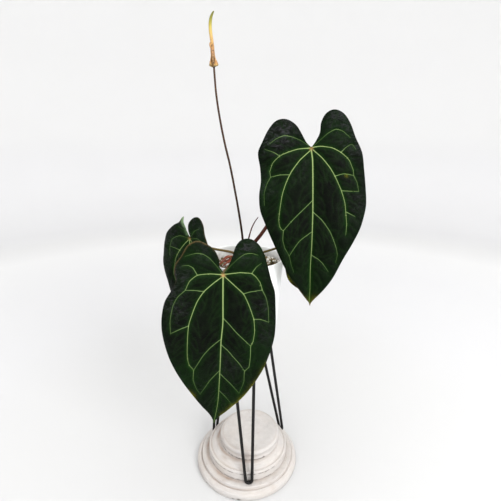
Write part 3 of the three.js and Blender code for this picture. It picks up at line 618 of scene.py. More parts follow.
def bladePiece(name, node, leaf, seed, materials):
    roll = random.Random(seed)
    left = smoothLine(leaf["left"], bladeShape["rimStep"])
    right = smoothLine(leaf["right"], bladeShape["rimStep"])
    outline = np.vstack([right[:-1], left[::-1]])
    rim = ([np.vstack([outline, outline[:1]])], [np.ones(len(outline) + 1)])
    veins = veinLines(leaf, outline, roll)
    flat, triangles = flatBlade(leaf, outline, rim, veins, roll)

    s, t = flat[:, 0], flat[:, 1]
    (mainGap, mainShare), (sideGap, sideShare), (smallGap, smallShare) = (
        nearestOn(flat, *size) for size in veins)
    rimGap, _ = nearestOn(flat, *rim)
    largeGap = np.minimum(mainGap, sideGap)
    calm = np.clip(rimGap / 6, 0, 1)
    depth = bladeDepth(leaf, s, t) + bladeShape["puff"] * (1 - np.exp(-largeGap / 5))
    depth += bladeShape["quilt"] * calm * (1 - np.exp(-np.minimum(largeGap, smallGap) / 2.2))
    depth += 0.5 * np.array([noise.noise(Vector((a / 17, b / 17, seed))) for a, b in flat])
    mainRound, sideRound = (np.clip(1 - share ** 2, 0, 1) for share in (mainShare, sideShare))
    depth += bladeShape["ridge"] * np.maximum(1.1 * mainRound, 0.65 * sideRound)
    thickness = (bladeShape["edge"] - 0.3 * np.exp(-rimGap / 3)) + bladeShape["rib"] * np.exp(-mainGap / 3)
    thickness += 0.6 * np.exp(-sideGap / 1.5)

    across, down, out = bladeAxes(leaf)
    front = atPot(leaf["base"]) + s[:, None] * across + t[:, None] * down + depth[:, None] * out
    back = front - thickness[:, None] * out
    count = len(flat)
    rimFaces = [(b, a, count + a, count + b) for a, b in openEdges(triangles)]
    faces = [*triangles, *(triangles[:, ::-1] + count), *rimFaces]
    piece = meshPiece(name, np.vstack([front, back]) * mm, faces)
    finishes = [0] * len(triangles) + [1] * len(triangles) + [0] * len(rimFaces)
    piece.data.polygons.foreach_set("material_index", finishes)
    for material in materials:
        piece.data.materials.append(material)
    fading = 1 - 0.6 * np.clip(t / leaf["length"] * 1.6 - 0.6, 0, 1)
    marks = {
        "mainVein": np.clip(1.5 - 0.9 * mainShare, 0, 1) * fading,
        "sideVein": np.clip(1.5 - 0.9 * sideShare, 0, 1) * fading * np.clip(rimGap / 24, 0.22, 1),
        "smallVein": np.clip(1.4 - 0.5 * smallShare, 0, 1) * calm,
        "glow": np.maximum(np.exp(-mainGap / 2.4), 0.5 * np.exp(-sideGap / 2)),
        "margin": np.exp(-rimGap / 0.5),
        # painted sheen: grey where the velvet would catch the light
        "paintedSheen": spots(leaf["paintedSheen"], s, t),
        "faded": spots(leaf["faded"], s, t) * np.exp(-rimGap / leaf["fadedReach"]),
        "lush": np.clip(spots(leaf["lush"], s, t) + 0.35 * np.exp(-rimGap / 12), 0, 1),
        "pale": spots(leaf["pale"], s, t),
        "tanEdge": spots(leaf["tanEdge"], s, t),
        "knot": leaf["knot"] * np.exp(-(s ** 2 + (t - 1) ** 2) / 6.5),
    }
    for mark, values in marks.items():
        pointAttribute(piece, mark, np.tile(values, 2))
    layer = piece.data.uv_layers.new(name="flat")
    loopCorners = np.zeros(len(piece.data.loops), dtype=np.int32)
    piece.data.loops.foreach_get("vertex_index", loopCorners)
    flatTwice = np.vstack([flat, flat]) / 100  # one unit of the map is 100 mm of blade
    layer.data.foreach_set("uv", flatTwice[loopCorners].astype(np.float32).ravel())
    print("leaf", name, len(faces), "faces,", len(veins[2][0]), "small veins")
    return settle(piece, None, [node])


bladeColours = {
    # the grey-violet tone is painted sheen, standing for the velvet's sheen
    "deep": "#020202", "mid": "#050904", "light": "#0c1608", "lush": "#071b04", "paintedSheen": "#323134",
    "glow": "#18420a", "net": "#11240a", "mainVein": "#98ac6f", "sideVein": "#7f9a5f", "margin": "#6f5c3c",
    "faded": "#aaa62a", "knot": "#bb9560", "pale": "#6d8462",
    "under": "#5d7a4c", "underShade": "#4b6a3f", "underNet": "#6f8f5c", "underVein": "#a88f63",
}


def bladeFront():
    tone = bladeColours
    material, tree, shader = newMaterial(
        "velvetBlade", 0.4, 0.042, sheen=0.008, sheenRoughness=0.35, sheenTint=(0.78, 0.8, 0.86))
    flat = surfaceMap(tree)
    patches = noiseOf(flat, 7, 5, 0.62, 0.6)
    colour = ramped(patches, [(0.34, tone["deep"]), (0.52, tone["mid"]), (0.72, tone["light"])])
    lush = ramped(noiseOf(flat, 11, 4, 0.6, 0.5), [(0.3, 0.25), (0.65, 1.0)])
    # Painted sheen: grey streaky patches that stand for the velvet's sheen on raised folds
    paintedSheen = ramped(noiseOf(surfaceMap(tree, (1.1, 1.8, 1)), 7.5, 6, 0.72, 1.4), [(0.47, 0.0), (0.66, 0.9)])
    colour = layered(colour, [
        (markOf(tree, "lush", lush), tone["lush"]),
        (markOf(tree, "paintedSheen", paintedSheen), tone["paintedSheen"]),
        (markOf(tree, "glow", 0.5), tone["glow"]),
    ])
    cells = pattern("ShaderNodeTexVoronoi", flat, feature="DISTANCE_TO_EDGE", Scale=34).outputs["Distance"]
    areoles = ramped(cells, [(0.0, 1.35), (0.09, 1.0), (0.3, 0.86)])
    specks = ramped(noiseOf(flat, 150, 3, 0.6), [(0.5, 0.0), (0.56, 1.0)])
    colour = layered(mixed(0.8, colour, areoles, "MULTIPLY"), [
        (markOf(tree, "smallVein", 0.4), tone["net"]),
        (markOf(tree, "sideVein", 0.88), tone["sideVein"]),
        (markOf(tree, "mainVein"), tone["mainVein"]),
        (markOf(tree, "knot"), tone["knot"]),
        (markOf(tree, "faded", specks), tone["faded"]),
        (markOf(tree, "margin", markOf(tree, "tanEdge")), tone["margin"]),
        (markOf(tree, "pale"), tone["pale"]),
    ])
    grain = maths("ADD", maths("MULTIPLY", cells, 1.6), noiseOf(flat, 30, 5, 0.65))
    finish(shader, colour, grain, 0.55, 0.0012)
    return material


def bladeBack():
    tone = bladeColours
    material, tree, shader = newMaterial("leafUnderside", 0.5, 0.4)
    flat = surfaceMap(tree)
    colour = layered(ramped(noiseOf(flat, 8, 4, 0.6), [(0.3, tone["under"]), (0.7, tone["underShade"])]), [
        (markOf(tree, "smallVein", 0.5), tone["underNet"]),
        (markOf(tree, "sideVein"), tone["underVein"]),
        (markOf(tree, "mainVein"), tone["underVein"]),
        (markOf(tree, "margin"), tone["margin"]),
    ])
    finish(shader, colour, noiseOf(flat, 60, 4, 0.6), 0.3, 0.0005)
    return material


print("leaves")
bladeMaterials = [bladeFront(), bladeBack()]
bladePiece("frontLeaf", "leaf_a", leafA, 3, bladeMaterials)
bladePiece("rightLeaf", "leaf_b", leafB, 5, bladeMaterials)
bladePiece("leftLeaf", "leaf_c", leafC, 8, bladeMaterials)
bladePiece("rearLeaf", "leaf_d", leafD, 13, bladeMaterials)


# Stalks: a line through the air with a round section whose radius is given at each stop
def framedLine(points, step, normal=None):
    # Each stop: its share of the way, its place, the way the line runs and two directions across it
    line = atPot(smoothLine(points, step))
    tangents = np.gradient(line, axis=0)
    tangents /= np.linalg.norm(tangents, axis=1)[:, None]
    if normal is None:
        normal = np.cross(tangents[0], [0.3, 1, 0.2])
    stops = []
    for i, (centre, tangent) in enumerate(zip(line, tangents)):
        normal = normal - tangent * normal.dot(tangent)
        normal /= np.linalg.norm(normal)
        stops.append((i / (len(line) - 1), centre, tangent, normal, np.cross(tangent, normal)))
    return stops


def stalkPiece(name, points, radiusAt, sides=20, step=2.5, ripple=0.04):
    stops = framedLine(points, step)
    corners, share = [], []
    for along, centre, _, normal, binormal in stops:
        for k in range(sides):
            turn = 2 * math.pi * k / sides
            wobble = 1 + ripple * noise.noise(Vector(centre / 9) + Vector((k * 0.4, 0, 0)))
            radius = radiusAt(along, turn) * wobble
            corners.append(centre + radius * (normal * math.cos(turn) + binormal * math.sin(turn)))
            share.append(along)
    faces = []
    for i in range(len(stops) - 1):
        for k in range(sides):
            a, b = i * sides + k, i * sides + (k + 1) % sides
            faces.append((a, b, b + sides, a + sides))
    first, last = len(corners), len(corners) + 1
    (_, foot, footWay, _, _), (_, head, headWay, _, _) = stops[0], stops[-1]
    corners += [foot - footWay * 0.2, head + headWay * 0.2]
    share += [0, 1]
    for k in range(sides):
        following = (k + 1) % sides
        faces.append((first, following, k))
        faces.append((last, first - sides + k, first - sides + following))
    piece = meshPiece(name, np.array(corners) * mm, faces)
    pointAttribute(piece, "along", share)
    return piece


def stalkMaterial(name, low, high, joint, jointFrom):
    material, tree, shader = newMaterial(name, 0.5, 0.14)
    stops = [(0.0, low), (jointFrom - 0.03, high), (jointFrom, joint), (1.0, joint)]
    colour = ramped(markOf(tree, "along"), stops)
    position = objectCoordinates(tree, (1, 1, 0.25))
    streaks = ramped(noiseOf(position, 420, 4, 0.6), [(0.35, 0.55), (0.65, 1.0)])
    flecks = ramped(noiseOf(objectCoordinates(tree), 900, 2), [(0.62, 0.0), (0.7, 0.5)])
    colour = mixed(flecks, mixed(0.75, colour, streaks, "MULTIPLY"), "#a98a5e")
    finish(shader, colour, noiseOf(position, 700, 3), 0.25, 0.0004)
    return material


stalks = {
    "frontPetiole": {
        "node": "petiole_a", "leaf": leafA, "thick": 2.7, "thin": 2.2,
        "low": "#54452a", "high": "#6b5138", "joint": "#8a7256",
        "points": [(-2.5, -5, 451), (-3.5, -24, 470), (-5, -55, 484), (-8.5, -86, 487), (-16.5, -107, 477.5)],
    },
    "rightPetiole": {
        "node": "petiole_b", "leaf": leafB, "thick": 3.2, "thin": 2.5,
        "low": "#4d231e", "high": "#673229", "joint": "#b98468",
        "points": [
            (4.5, -2, 451), (18.5, -12, 482), (35.5, -20, 507), (63.5, -33, 556), (88.5, -43, 608),
            (101.5, -50, 640),
        ],
    },
    "leftPetiole": {
        "node": "petiole_c", "leaf": leafC, "thick": 2.3, "thin": 2,
        "low": "#6b5a36", "high": "#5e5230", "joint": "#8b7a46",
        "points": [
            (-4.5, 0, 453), (-16.5, -4, 465), (-29.5, -9, 470), (-51.5, -18, 477), (-70.5, -29, 487),
            (-81.5, -37, 498),
        ],
    },
    "rearPetiole": {
        "node": "petiole_d", "leaf": leafD, "thick": 2.1, "thin": 1.8,
        "low": "#65552f", "high": "#6b5c36", "joint": "#8b7a46",
        "points": [
            (8, 4.5, 450), (18.5, 5, 457), (35.5, 5, 462.5), (59.5, 6, 470), (92.5, 12, 481),
            (115.5, 17, 491),
        ],
    },
    "flowerStalk": {
        "node": "peduncle", "leaf": None, "thick": 2, "thin": 1.5,
        "low": "#241309", "high": "#40291c", "joint": "#4a3628",
        "points": [
            (1.5, 3, 450), (0.5, 3, 487), (-4.5, 3, 528), (-12.5, 2, 577), (-20.5, 2, 620),
            (-28.5, 2, 655), (-35.3, 1, 692), (-40.4, 1, 729), (-42.2, 0, 756), (-42.9, 0, 770),
        ],
    },
}


def plantStalk(name, stalk):
    points = [np.array(point, float) for point in stalk["points"]]
    if stalk["leaf"]:
        _, down, out = bladeAxes(stalk["leaf"])
        seat = np.array(stalk["leaf"]["base"]) + down - out * (bladeShape["edge"] + bladeShape["rib"] + 0.6)
        points += [seat - out * 8, seat]
    length = np.linalg.norm(np.diff(points, axis=0), axis=1).sum()
    swollen = 14 / length  # the joint below the blade is a little thicker

    def radiusAt(along, turn):
        radius = stalk["thick"] + (stalk["thin"] - stalk["thick"]) * along
        if stalk["leaf"] and along > 1 - swollen:
            radius *= 1 + 0.22 * math.sin(math.pi * min((along - 1 + swollen) / swollen * 1.15, 1))
        return radius * (1 + 0.05 * math.cos(2 * turn))

    piece = stalkPiece(name, points, radiusAt)
    jointFrom = 1 - swollen if stalk["leaf"] else 0.97
    material = stalkMaterial(name + "Skin", stalk["low"], stalk["high"], stalk["joint"], jointFrom)
    return settle(piece, material, [stalk["node"]])


print("stalks")
for stalkName, stalk in stalks.items():
    plantStalk(stalkName, stalk)


# Flower spike
spike = {
    "foot": 770.6,
    "points": [
        (-42.9, 0, 770.6), (-43.9, 0, 788), (-44.9, 0, 804), (-46.2, 0, 814),
        (-47, 0, 823), (-46.7, 0, 832), (-44.8, 0, 840), (-41.2, 0, 846.5),
    ],
    "thick": 2.4, "thin": 1.0, "taperFrom": 0.74, "knob": 0.2, "rows": 46, "columns": 9,
}


def spadixPiece():
    def radiusAt(along, turn):
        row = along * spike["rows"]
        spiral = spike["columns"] * turn + math.pi * row
        knob = spike["knob"] * math.cos(spiral) * math.cos(math.pi * row)
        taper = max(0, (along - spike["taperFrom"]) / (1 - spike["taperFrom"])) ** 2.2
        return spike["thick"] - (spike["thick"] - spike["thin"]) * taper + knob * (1 - taper)

    piece = stalkPiece("spikeFlorets", spike["points"], radiusAt, sides=54, step=0.5, ripple=0.02)
    material, tree, shader = newMaterial("spadixSkin", 0.55, 0.4)
    along = markOf(tree, "along")
    colour = ramped(along, [
        (0.0, "#9a7b4e"), (0.3, "#b0845a"), (0.45, "#c0985a"), (0.57, "#c0a060"), (0.7, "#b5a24d"),
        (0.79, "#948c2e"), (0.87, "#757322"), (1.0, "#60621a"),
    ])
    position = objectCoordinates(tree)
    florets = pattern("ShaderNodeTexVoronoi", position, Scale=340).outputs["Distance"]
    dots = ramped(florets, [(0.34, 1.0), (0.5, 0.0)])
    spent = ramped(along, [(0.1, 0.9), (0.32, 0.9), (0.5, 0.12), (0.7, 0.0)])
    colour = mixed(maths("MULTIPLY", dots, spent), colour, "#3d2a1c")
    finish(shader, colour, noiseOf(position, 1500, 2), 0.3, 0.0003)
    return settle(piece, material, ["spadix"])


spathe = {
    "turns": 72, "rows": 70, "thickness": 0.5,
    "profile": [  # height and radius
        (802.5, 2.8), (798, 2.9), (794, 2.8), (788, 2.8), (783, 3.5), (779, 4.8), (775.5, 6.2), (771.8, 7.2),
    ],
    "slit": [  # height, and degrees to each side
        (802.5, 30), (798.5, 24), (796, 44), (792, 66), (785, 66), (779, 42), (775, 24), (771, 12),
    ],
    "bend": (-42.9, -45.1),  # the middle of its foot and of its top
    "flapRows": 12, "flapColumns": 8, "flapAt": (-46.4, -1.6, 803),
}


def spathePiece():
    # A withered sheet wrapped round the foot of the spadix, slit down the front and flared below
    turns, rows = spathe["turns"], spathe["rows"]
    high, low = spathe["profile"][0][0], spathe["profile"][-1][0]
    heights, reaches = zip(*spathe["profile"][::-1])
    slitHeights, slitWidths = zip(*spathe["slit"][::-1])
    corners, share = [], []
    for j in range(rows + 1):
        v = j / rows
        height = high + (low - high) * v
        flare = np.interp(height, [771.8, 786], [1, 0])
        gape = np.interp(height, slitHeights, slitWidths)
        bend = np.interp(height, [spike["foot"], high], spathe["bend"])
        for i in range(turns + 1):
            u = i / turns
            turn = math.radians(262 + gape + (360 - 2 * gape) * u)
            crumple = noise.noise(Vector((math.cos(turn) * 2.2, math.sin(turn) * 2.2, height / 4)))
            pleat = 0.55 * math.sin(6 * turn + height * 0.2) * flare
            curl = 0.5 * max(0, abs(2 * u - 1) - 0.75) * 4 * (1 - flare)
            reach = np.interp(height, heights, reaches) + 0.55 * crumple * (0.4 + flare) + pleat + curl * 0.6
            drop = 1.3 * flare * math.sin(2 * turn + 1) + 2.6 * (1 - v) ** 5 * math.sin(2 * turn - 0.6)
            corners.append((bend + reach * math.cos(turn), reach * math.sin(turn), height + drop))
            share.append(v)
    faces = [(a, d, c, b) for a, b, c, d in gridFaces(rows, turns)]
    piece = meshPiece("witheredSpathe", atPot(corners) * mm, faces)
    pointAttribute(piece, "along", share)
    piece = thickened(joined("witheredSpathe", [piece, flapPiece()]), spathe["thickness"])
    material, tree, shader = newMaterial("drySpathe", 0.75, 0.25)
    position = objectCoordinates(tree, (1, 1, 0.3))
    colour = ramped(noiseOf(position, 420, 5, 0.65), [(0.3, "#7d5a33"), (0.5, "#aa8050"), (0.72, "#c7a472")])
    colour = mixed(ramped(markOf(tree, "along"), [(0.93, 0.0), (1.0, 0.6)]), colour, "#8d8a52")
    finish(shader, colour, noiseOf(position, 700, 4), 0.5, 0.0006)
    return settle(piece, material, ["spathe"])


def flapPiece():
    # The curled corner of the spathe that stands off at its upper left
    rows, columns = spathe["flapRows"], spathe["flapColumns"]
    x, y, z = spathe["flapAt"]
    corners = []
    for j in range(rows + 1):
        v = j / rows
        for i in range(columns + 1):
            u = i / columns
            reach = 2.4 * u * math.sin(math.pi * (0.25 + 0.65 * v))
            corners.append((x - reach, y - 1.2 * math.sin(2.4 * u), z - 7.5 * v + 1.0 * u * (1 - v)))
    piece = meshPiece("spatheFlap", atPot(corners) * mm, gridFaces(rows, columns))
    pointAttribute(piece, "along", [0.3] * len(corners))
    return piece


print("flower spike")
spadixPiece()
spathePiece()


# Old papery sheaths over the substrate, and the thin dried one that stands by the stalks
sheaths = {
    "thickness": 0.35, "curl": 0.35, "columns": 10,
    "halfWidth": 3.3, "wider": 1.2,  # every second strip is wider
    "dried": {"thick": 1.95, "thinner": 1.2, "creases": 0.16},
}
sheathStrips = [
    [(-7.5, -6, 446), (-13.5, -12, 457), (-21.5, -16, 462), (-30.5, -19, 458), (-39.5, -22, 449)],
    [(-7.5, -6, 446), (-14.5, -13, 454), (-22.5, -18, 456), (-29.5, -21, 452), (-35.5, -24, 446)],
    [(-7.5, -6, 446), (-12.5, -13, 459), (-18.5, -17, 464), (-25.5, -20, 463), (-32.5, -21, 456)],
    [(-7.5, -6, 446), (-9.5, -13, 452), (-14.5, -19, 453), (-19.5, -24, 450), (-23.5, -28, 445)],
    [(-7.5, -6, 446), (-16.5, -10, 453), (-27.5, -14, 455), (-36.5, -16, 452), (-43.5, -17, 446)],
    [(-6, -7, 446), (-11, -15, 458), (-17, -20, 460), (-25, -24, 456), (-33, -25, 448)],
    [(-8, -4, 447), (-17, -8, 459), (-26, -11, 462), (-34, -14, 457), (-41, -15, 448)],
    [(-7, -6, 446), (-12, -12, 455), (-20, -16, 459), (-27, -19, 455), (-31, -22, 447)],
]
driedSheathPoints = [
    (3.5, 8, 450), (8.5, 8, 476), (11.9, 7, 491), (17.3, 6, 509.5), (22.5, 5, 520.5), (28, 4, 528.7),
]


def stripPiece(name, points, widest, seed):
    stops = framedLine(points, 1.0, np.array([0, 0, 1.0]))
    columns = sheaths["columns"]
    corners = []
    for v, centre, _, normal, side in stops:
        for k in range(columns + 1):
            u = k / columns * 2 - 1
            ragged = 1 + 0.4 * noise.noise(Vector((v * 9, u * 2, seed)))
            width = (1.0 + widest * math.sin(math.pi * min(0.15 + v * 0.85, 0.97))) * ragged
            lift = -sheaths["curl"] * width * u * u + 0.5 * noise.noise(Vector((v * 7, u * 3, seed + 9)))
            corners.append(centre + side * width * u + normal * lift)
    piece = meshPiece(name, np.array(corners) * mm, gridFaces(len(stops) - 1, columns))
    return thickened(piece, sheaths["thickness"])


def driedRadius(along, turn):
    dried = sheaths["dried"]
    creased = 1 + dried["creases"] * math.cos(3 * turn + 9 * along)
    return (dried["thick"] - dried["thinner"] * along) * creased


def paperMaterial(name, dark, light, edge):
    material, tree, shader = newMaterial(name, 0.7, 0.3)
    fibres = noiseOf(objectCoordinates(tree, (0.35, 1.6, 0.6)), 900, 4, 0.6)
    worn = ramped(noiseOf(objectCoordinates(tree), 160, 3), [(0.5, 0.0), (0.75, 0.4)])
    colour = mixed(worn, ramped(fibres, [(0.3, dark), (0.68, light)]), edge)
    finish(shader, colour, fibres, 0.5, 0.0006)
    return material


print("sheaths")
strips = []
for i, points in enumerate(sheathStrips):
    strips.append(stripPiece(f"sheathStrip{i}", points, sheaths["halfWidth"] + (i % 2) * sheaths["wider"], i))
oldSheaths = joined("oldSheaths", strips)
oldPaper = paperMaterial("oldSheathPaper", "#62271a", "#a9573f", "#c28668")
settle(oldSheaths, oldPaper, ["old_sheaths"])
driedSheath = stalkPiece("driedSheath", driedSheathPoints, driedRadius, sides=18, step=1.2)
driedPaper = paperMaterial("driedSheathPaper", "#361f1b", "#623a33", "#7d5044")
settle(driedSheath, driedPaper, ["dried_sheath"])


# Turned pieces are drawn as [radius, height] rings, each pulled from the one before it
def pulledRings(name, axis, rings, sides, fill="TRIFAN"):
    deselectAll()
    firstRadius, firstHeight = rings[0]
    bpy.ops.mesh.primitive_circle_add(
        vertices=sides, radius=firstRadius * mm, fill_type=fill,
        location=(axis[0] * mm, axis[1] * mm, firstHeight * mm))
    piece = bpy.context.object
    piece.name = name
    piece.data.name = name
    bpy.ops.object.mode_set(mode="EDIT")
    bpy.ops.mesh.select_all(action="DESELECT")
    bpy.ops.object.mode_set(mode="OBJECT")
    for edge in piece.data.edges:
        ends = [piece.data.vertices[i].co.xy.length for i in edge.vertices]
        edge.select = min(ends) > firstRadius * mm * 0.5
    bpy.ops.object.mode_set(mode="EDIT")
    bpy.ops.mesh.select_mode(type="EDGE")
    radius, height = firstRadius, firstHeight
    for nextRadius, nextHeight in rings[1:]:
        rise = (nextHeight - height) * mm
        bpy.ops.mesh.extrude_region_move(TRANSFORM_OT_translate={"value": (0, 0, rise)})
        factor = nextRadius / radius
        centre = (axis[0] * mm, axis[1] * mm, nextHeight * mm)
        bpy.ops.transform.resize(value=(factor, factor, 1), center_override=centre)
        radius, height = nextRadius, nextHeight
    return piece


def turnedPiece(name, axis, rings, sides=128):
    piece = pulledRings(name, axis, rings, sides)
    bpy.ops.mesh.merge(type="CENTER")
    bpy.ops.mesh.select_all(action="SELECT")
    bpy.ops.mesh.normals_make_consistent(inside=False)
    bpy.ops.object.mode_set(mode="OBJECT")
    bpy.ops.object.shade_smooth_by_angle(angle=math.radians(40))
    return piece


def fineRings(section, step):
    # More rings between the drawn ones, on the same straight flanks
    rings = []
    for (r0, z0), (r1, z1) in zip(section, section[1:]):
        count = max(1, round(math.hypot(r1 - r0, z1 - z0) / step))
        rings += [(r0 + (r1 - r0) * i / count, z0 + (z1 - z0) * i / count) for i in range(count)]
    return rings + [section[-1]]


# Plinth
# The grooves and patches listed for each tier are painted shade in the creases, on the left faces and behind
# the front leg, with a brown wash and some stains
tiers = {
    "lowerTier": {
        "node": "plinth_lower", "axisX": 0.0,
        "section": [
            (20, 0), (104, 0), (105.4, 0.7), (106, 2.5), (106.2, 5), (106, 8), (105.5, 10.2), (104.4, 12.2),
            (102.8, 14), (100.6, 15.4), (98.4, 16), (96.9, 15.5), (96, 15), (95.6, 16), (95.4, 18.5),
            (95.2, 21), (94.6, 21.8), (93.4, 22), (60, 22), (1, 22),
        ],
        "grooves": [(95.9, 15.2, 2.0, 0.7), (102, 14.6, 2.5, 0.2), (84, 22, 4.0, 0.9)],
        "cracks": [],
        "chips": [(262, 1.5, 3.5), (256, 1.2, 2.5)],
        "stainsAndShade": [(300, 100, 15, 6, 0.35), (240, 88, 22, 8, 0.3), (206, 104, 7, 22, 0.3)],
    },
    "middleTier": {
        "node": "plinth_middle", "axisX": 2.2,
        "section": [
            (20, 22.3), (81.4, 22.3), (82.3, 23), (82.6, 27), (82.4, 32), (82.4, 36.2), (81.7, 36.9),
            (81.3, 37.2), (81.8, 37.6), (82.4, 38.4), (82.2, 40), (81.6, 41.3), (80.4, 42.2), (79, 42.3),
            (77.6, 41.6), (76.8, 41.9), (75.4, 43.2), (73, 45.3), (70, 47.3), (66.4, 49.3), (63, 50.3),
            (60, 50.4), (1, 50.4),
        ],
        "grooves": [
            (81.3, 37.2, 0.9, 0.5), (77.4, 41.6, 2.0, 0.5), (63, 50.4, 4.0, 0.9), (82, 22.5, 1.5, 0.5),
        ],
        "cracks": [(81.3, 37.2, 0.8, 185, 325, 4), (82.1, 23.2, 1.0, 185, 305, 9)],
        "chips": [(296, 36.6, 1.3)],
        "stainsAndShade": [(262, 72, 47, 7, 0.55), (228, 66, 49, 9, 0.4)],
    },
    "upperTier": {
        "node": "plinth_upper", "axisX": 6.4,
        "section": [
            (20, 50.7), (60.8, 50.7), (61.2, 51.4), (61, 54), (60.2, 57), (60, 59), (60.5, 61), (61.4, 63.2),
            (61.8, 65.2), (61.5, 67.2), (60.6, 68.9), (59, 70), (57, 70.5), (40, 70.5), (1, 70.5),
        ],
        "grooves": [(60.1, 58, 3.0, 0.35), (57, 70.4, 2.2, 0.45), (61, 51.2, 1.2, 0.8)],
        "cracks": [(61.1, 51.4, 1.0, 190, 300, 14)],
        "chips": [(297, 52.5, 1.6)],
        "stainsAndShade": [(266, 61, 60, 7, 0.5), (205, 61, 60, 12, 0.35)],
    },
}


def limewash():
    material, tree, shader = newMaterial("limewashedWood", 0.85, 0.2)
    position = objectCoordinates(tree)
    rings = noiseOf(objectCoordinates(tree, (1, 1, 16)), 50, 5, 0.65, 0.3)
    turningMarks = noiseOf(objectCoordinates(tree, (1, 1, 30)), 130, 4, 0.7, 0.4)
    scratches = ramped(turningMarks, [(0.62, 0.0), (0.7, 0.45)])
    shadeAndWash = ramped(noiseOf(position, 60, 4, 0.6), [(0.3, 0.55), (0.65, 1.0)])
    colour = layered(ramped(rings, [(0.3, "#b5b1ae"), (0.5, "#bfbbb8"), (0.7, "#c7c4c1")]), [
        (ramped(noiseOf(position, 24, 5, 0.65), [(0.42, 0.0), (0.72, 0.4)]), "#c0b5aa"),  # blotches
        # painted shade in the grooves and on the left, with a brown wash
        (markOf(tree, "creaseShadeAndStain", shadeAndWash), "#978273"),
        (scratches, "#9f9185"),
        (markOf(tree, "chips"), "#3a322c"),
        (ramped(noiseOf(position, 340, 3, 0.7), [(0.66, 0.0), (0.73, 0.6)]), "#83756a"),  # specks
    ])
    finish(shader, colour, maths("ADD", rings, scratches), 0.4, 0.0008)
    return material


def roundGap(bearing, degrees, radius):
    # How far round the tier a point lies from a bearing in degrees
    return (math.degrees(bearing) % 360 - degrees) * radius * math.pi / 180


def crackAt(tier, bearing, radius, height):
    # The broken dark lines that run round a tier, and its few chips
    total = 0.0
    for lineRadius, lineHeight, width, start, end, seed in tier["cracks"]:
        if start < math.degrees(bearing) % 360 < end:
            gap = math.hypot(radius - lineRadius, height - lineHeight) / width
            broken = noise.noise(Vector((math.cos(bearing) * 11, math.sin(bearing) * 11, seed)))
            total = max(total, math.exp(-gap * gap) * clamped(0.75 + 2.4 * broken))
    for chipDegrees, chipHeight, spread in tier["chips"]:
        gap = math.hypot(roundGap(bearing, chipDegrees, radius), height - chipHeight)
        total = max(total, math.exp(-(gap / spread) ** 2))
    return total


def shadeAndStainAt(tier, bearing, radius, height):
    # Painted shade and a brown wash: darker in the grooves, most on the left away from the light, and in
    # listed patches of shade (the front leg's shadow, the shaded left faces) and stain
    leftward = 0.35 + 0.65 * clamped(0.55 - math.cos(bearing))
    shadeAndWash = 0
    for grooveRadius, grooveHeight, spread, strength in tier["grooves"]:
        gap = math.hypot(radius - grooveRadius, height - grooveHeight)
        shadeAndWash = max(shadeAndWash, strength * leftward * math.exp(-(gap / spread) ** 2))
    for stainDegrees, stainRadius, stainHeight, spread, strength in tier["stainsAndShade"]:
        sideways = roundGap(bearing, stainDegrees, radius)
        gap = math.hypot(sideways, (radius - stainRadius) * 0.7, (height - stainHeight) * 0.7)
        shadeAndWash = max(shadeAndWash, strength * math.exp(-(gap / spread) ** 2))
    return shadeAndWash * (0.8 + 0.5 * noise.noise(Vector((math.cos(bearing) * 3, math.sin(bearing) * 3, height))))


def tierPiece(name, tier, material, seed):
    piece = turnedPiece(name, (tier["axisX"], 0), fineRings(tier["section"], 1.3), 256)
    creaseShadeAndStain, chips = [], []
    bm = bmesh.new()
    bm.from_mesh(piece.data)
    bm.normal_update()
    for vertex in bm.verts:
        x, y, z = vertex.co.x / mm, vertex.co.y / mm, (vertex.co.z + piece.location.z) / mm
        radius = math.hypot(x, y)  # the tier is still drawn round its own axis here
        bearing = math.atan2(y, x)
        worn = noise.noise(Vector((x / 14, y / 14, z / 5 + seed)))
        fine = noise.noise(Vector((x / 4, y / 4, z / 1.6 + seed)))
        if 0.1 < z:  # the underside stays flat
            vertex.co += vertex.normal * (0.28 * worn + 0.16 * fine) * mm
        creaseShadeAndStain.append(shadeAndStainAt(tier, bearing, radius, z))
        chips.append(crackAt(tier, bearing, radius, z))
    bm.to_mesh(piece.data)
    bm.free()
    pointAttribute(piece, "creaseShadeAndStain", creaseShadeAndStain)
    pointAttribute(piece, "chips", chips)
    return settle(piece, material, [tier["node"]])


print("plinth")
limewashed = limewash()
for number, (tierName, tier) in enumerate(tiers.items()):
    tierPiece(tierName, tier, limewashed, number * 7)


# Hairpin legs and ring
hairpins = {
    "rod": 3.0, "loop": 6.3, "bends": 24, "footTop": 22.3, "headTop": 314.4,
    "footCircle": 88.6, "footX": 3.9, "headCircle": 43, "headHalf": 22,
    "legs": {"frontLeg": ("leg_front", -89.5), "rightLeg": ("leg_right", 34.5), "leftLeg": ("leg_left", 149)},
}
ringShape = {"inner": 34, "outer": 56, "ease": 0.5, "sides": 120}


def hairpinPiece(name, node, bearing, material):
    settings = hairpins
    angle = math.radians(bearing)
    out = np.array([math.cos(angle), math.sin(angle), 0])
    along = np.array([-out[1], out[0], 0])
    footHeight = settings["footTop"] + settings["rod"] + settings["loop"]
    foot = np.array([settings["footX"], 0, footHeight]) + out * settings["footCircle"]
    head = np.array([*potAxis, settings["headTop"] - 0.2]) + out * settings["headCircle"]
    stops = [head - along * settings["headHalf"]]
    for i in range(settings["bends"] + 1):
        turn = math.pi * i / settings["bends"]
        bend = foot - along * settings["loop"] * math.cos(turn)
        bend[2] = footHeight - settings["loop"] * math.sin(turn)
        stops.append(bend)
    stops.append(head + along * settings["headHalf"])
    line = bpy.data.curves.new(name, "CURVE")
    line.dimensions = "3D"
    spline = line.splines.new("POLY")
    spline.points.add(len(stops) - 1)
    for point, stop in zip(spline.points, stops):
        point.co = (*(stop * mm), 1)
    line.bevel_depth = settings["rod"] * mm
    line.bevel_resolution = 8
    line.use_fill_caps = True
    choose(newObject(name, line))
    bpy.ops.object.convert(target="MESH")
    bpy.ops.object.shade_smooth_by_angle(angle=math.radians(50))
    return settle(bpy.context.object, material, [node])


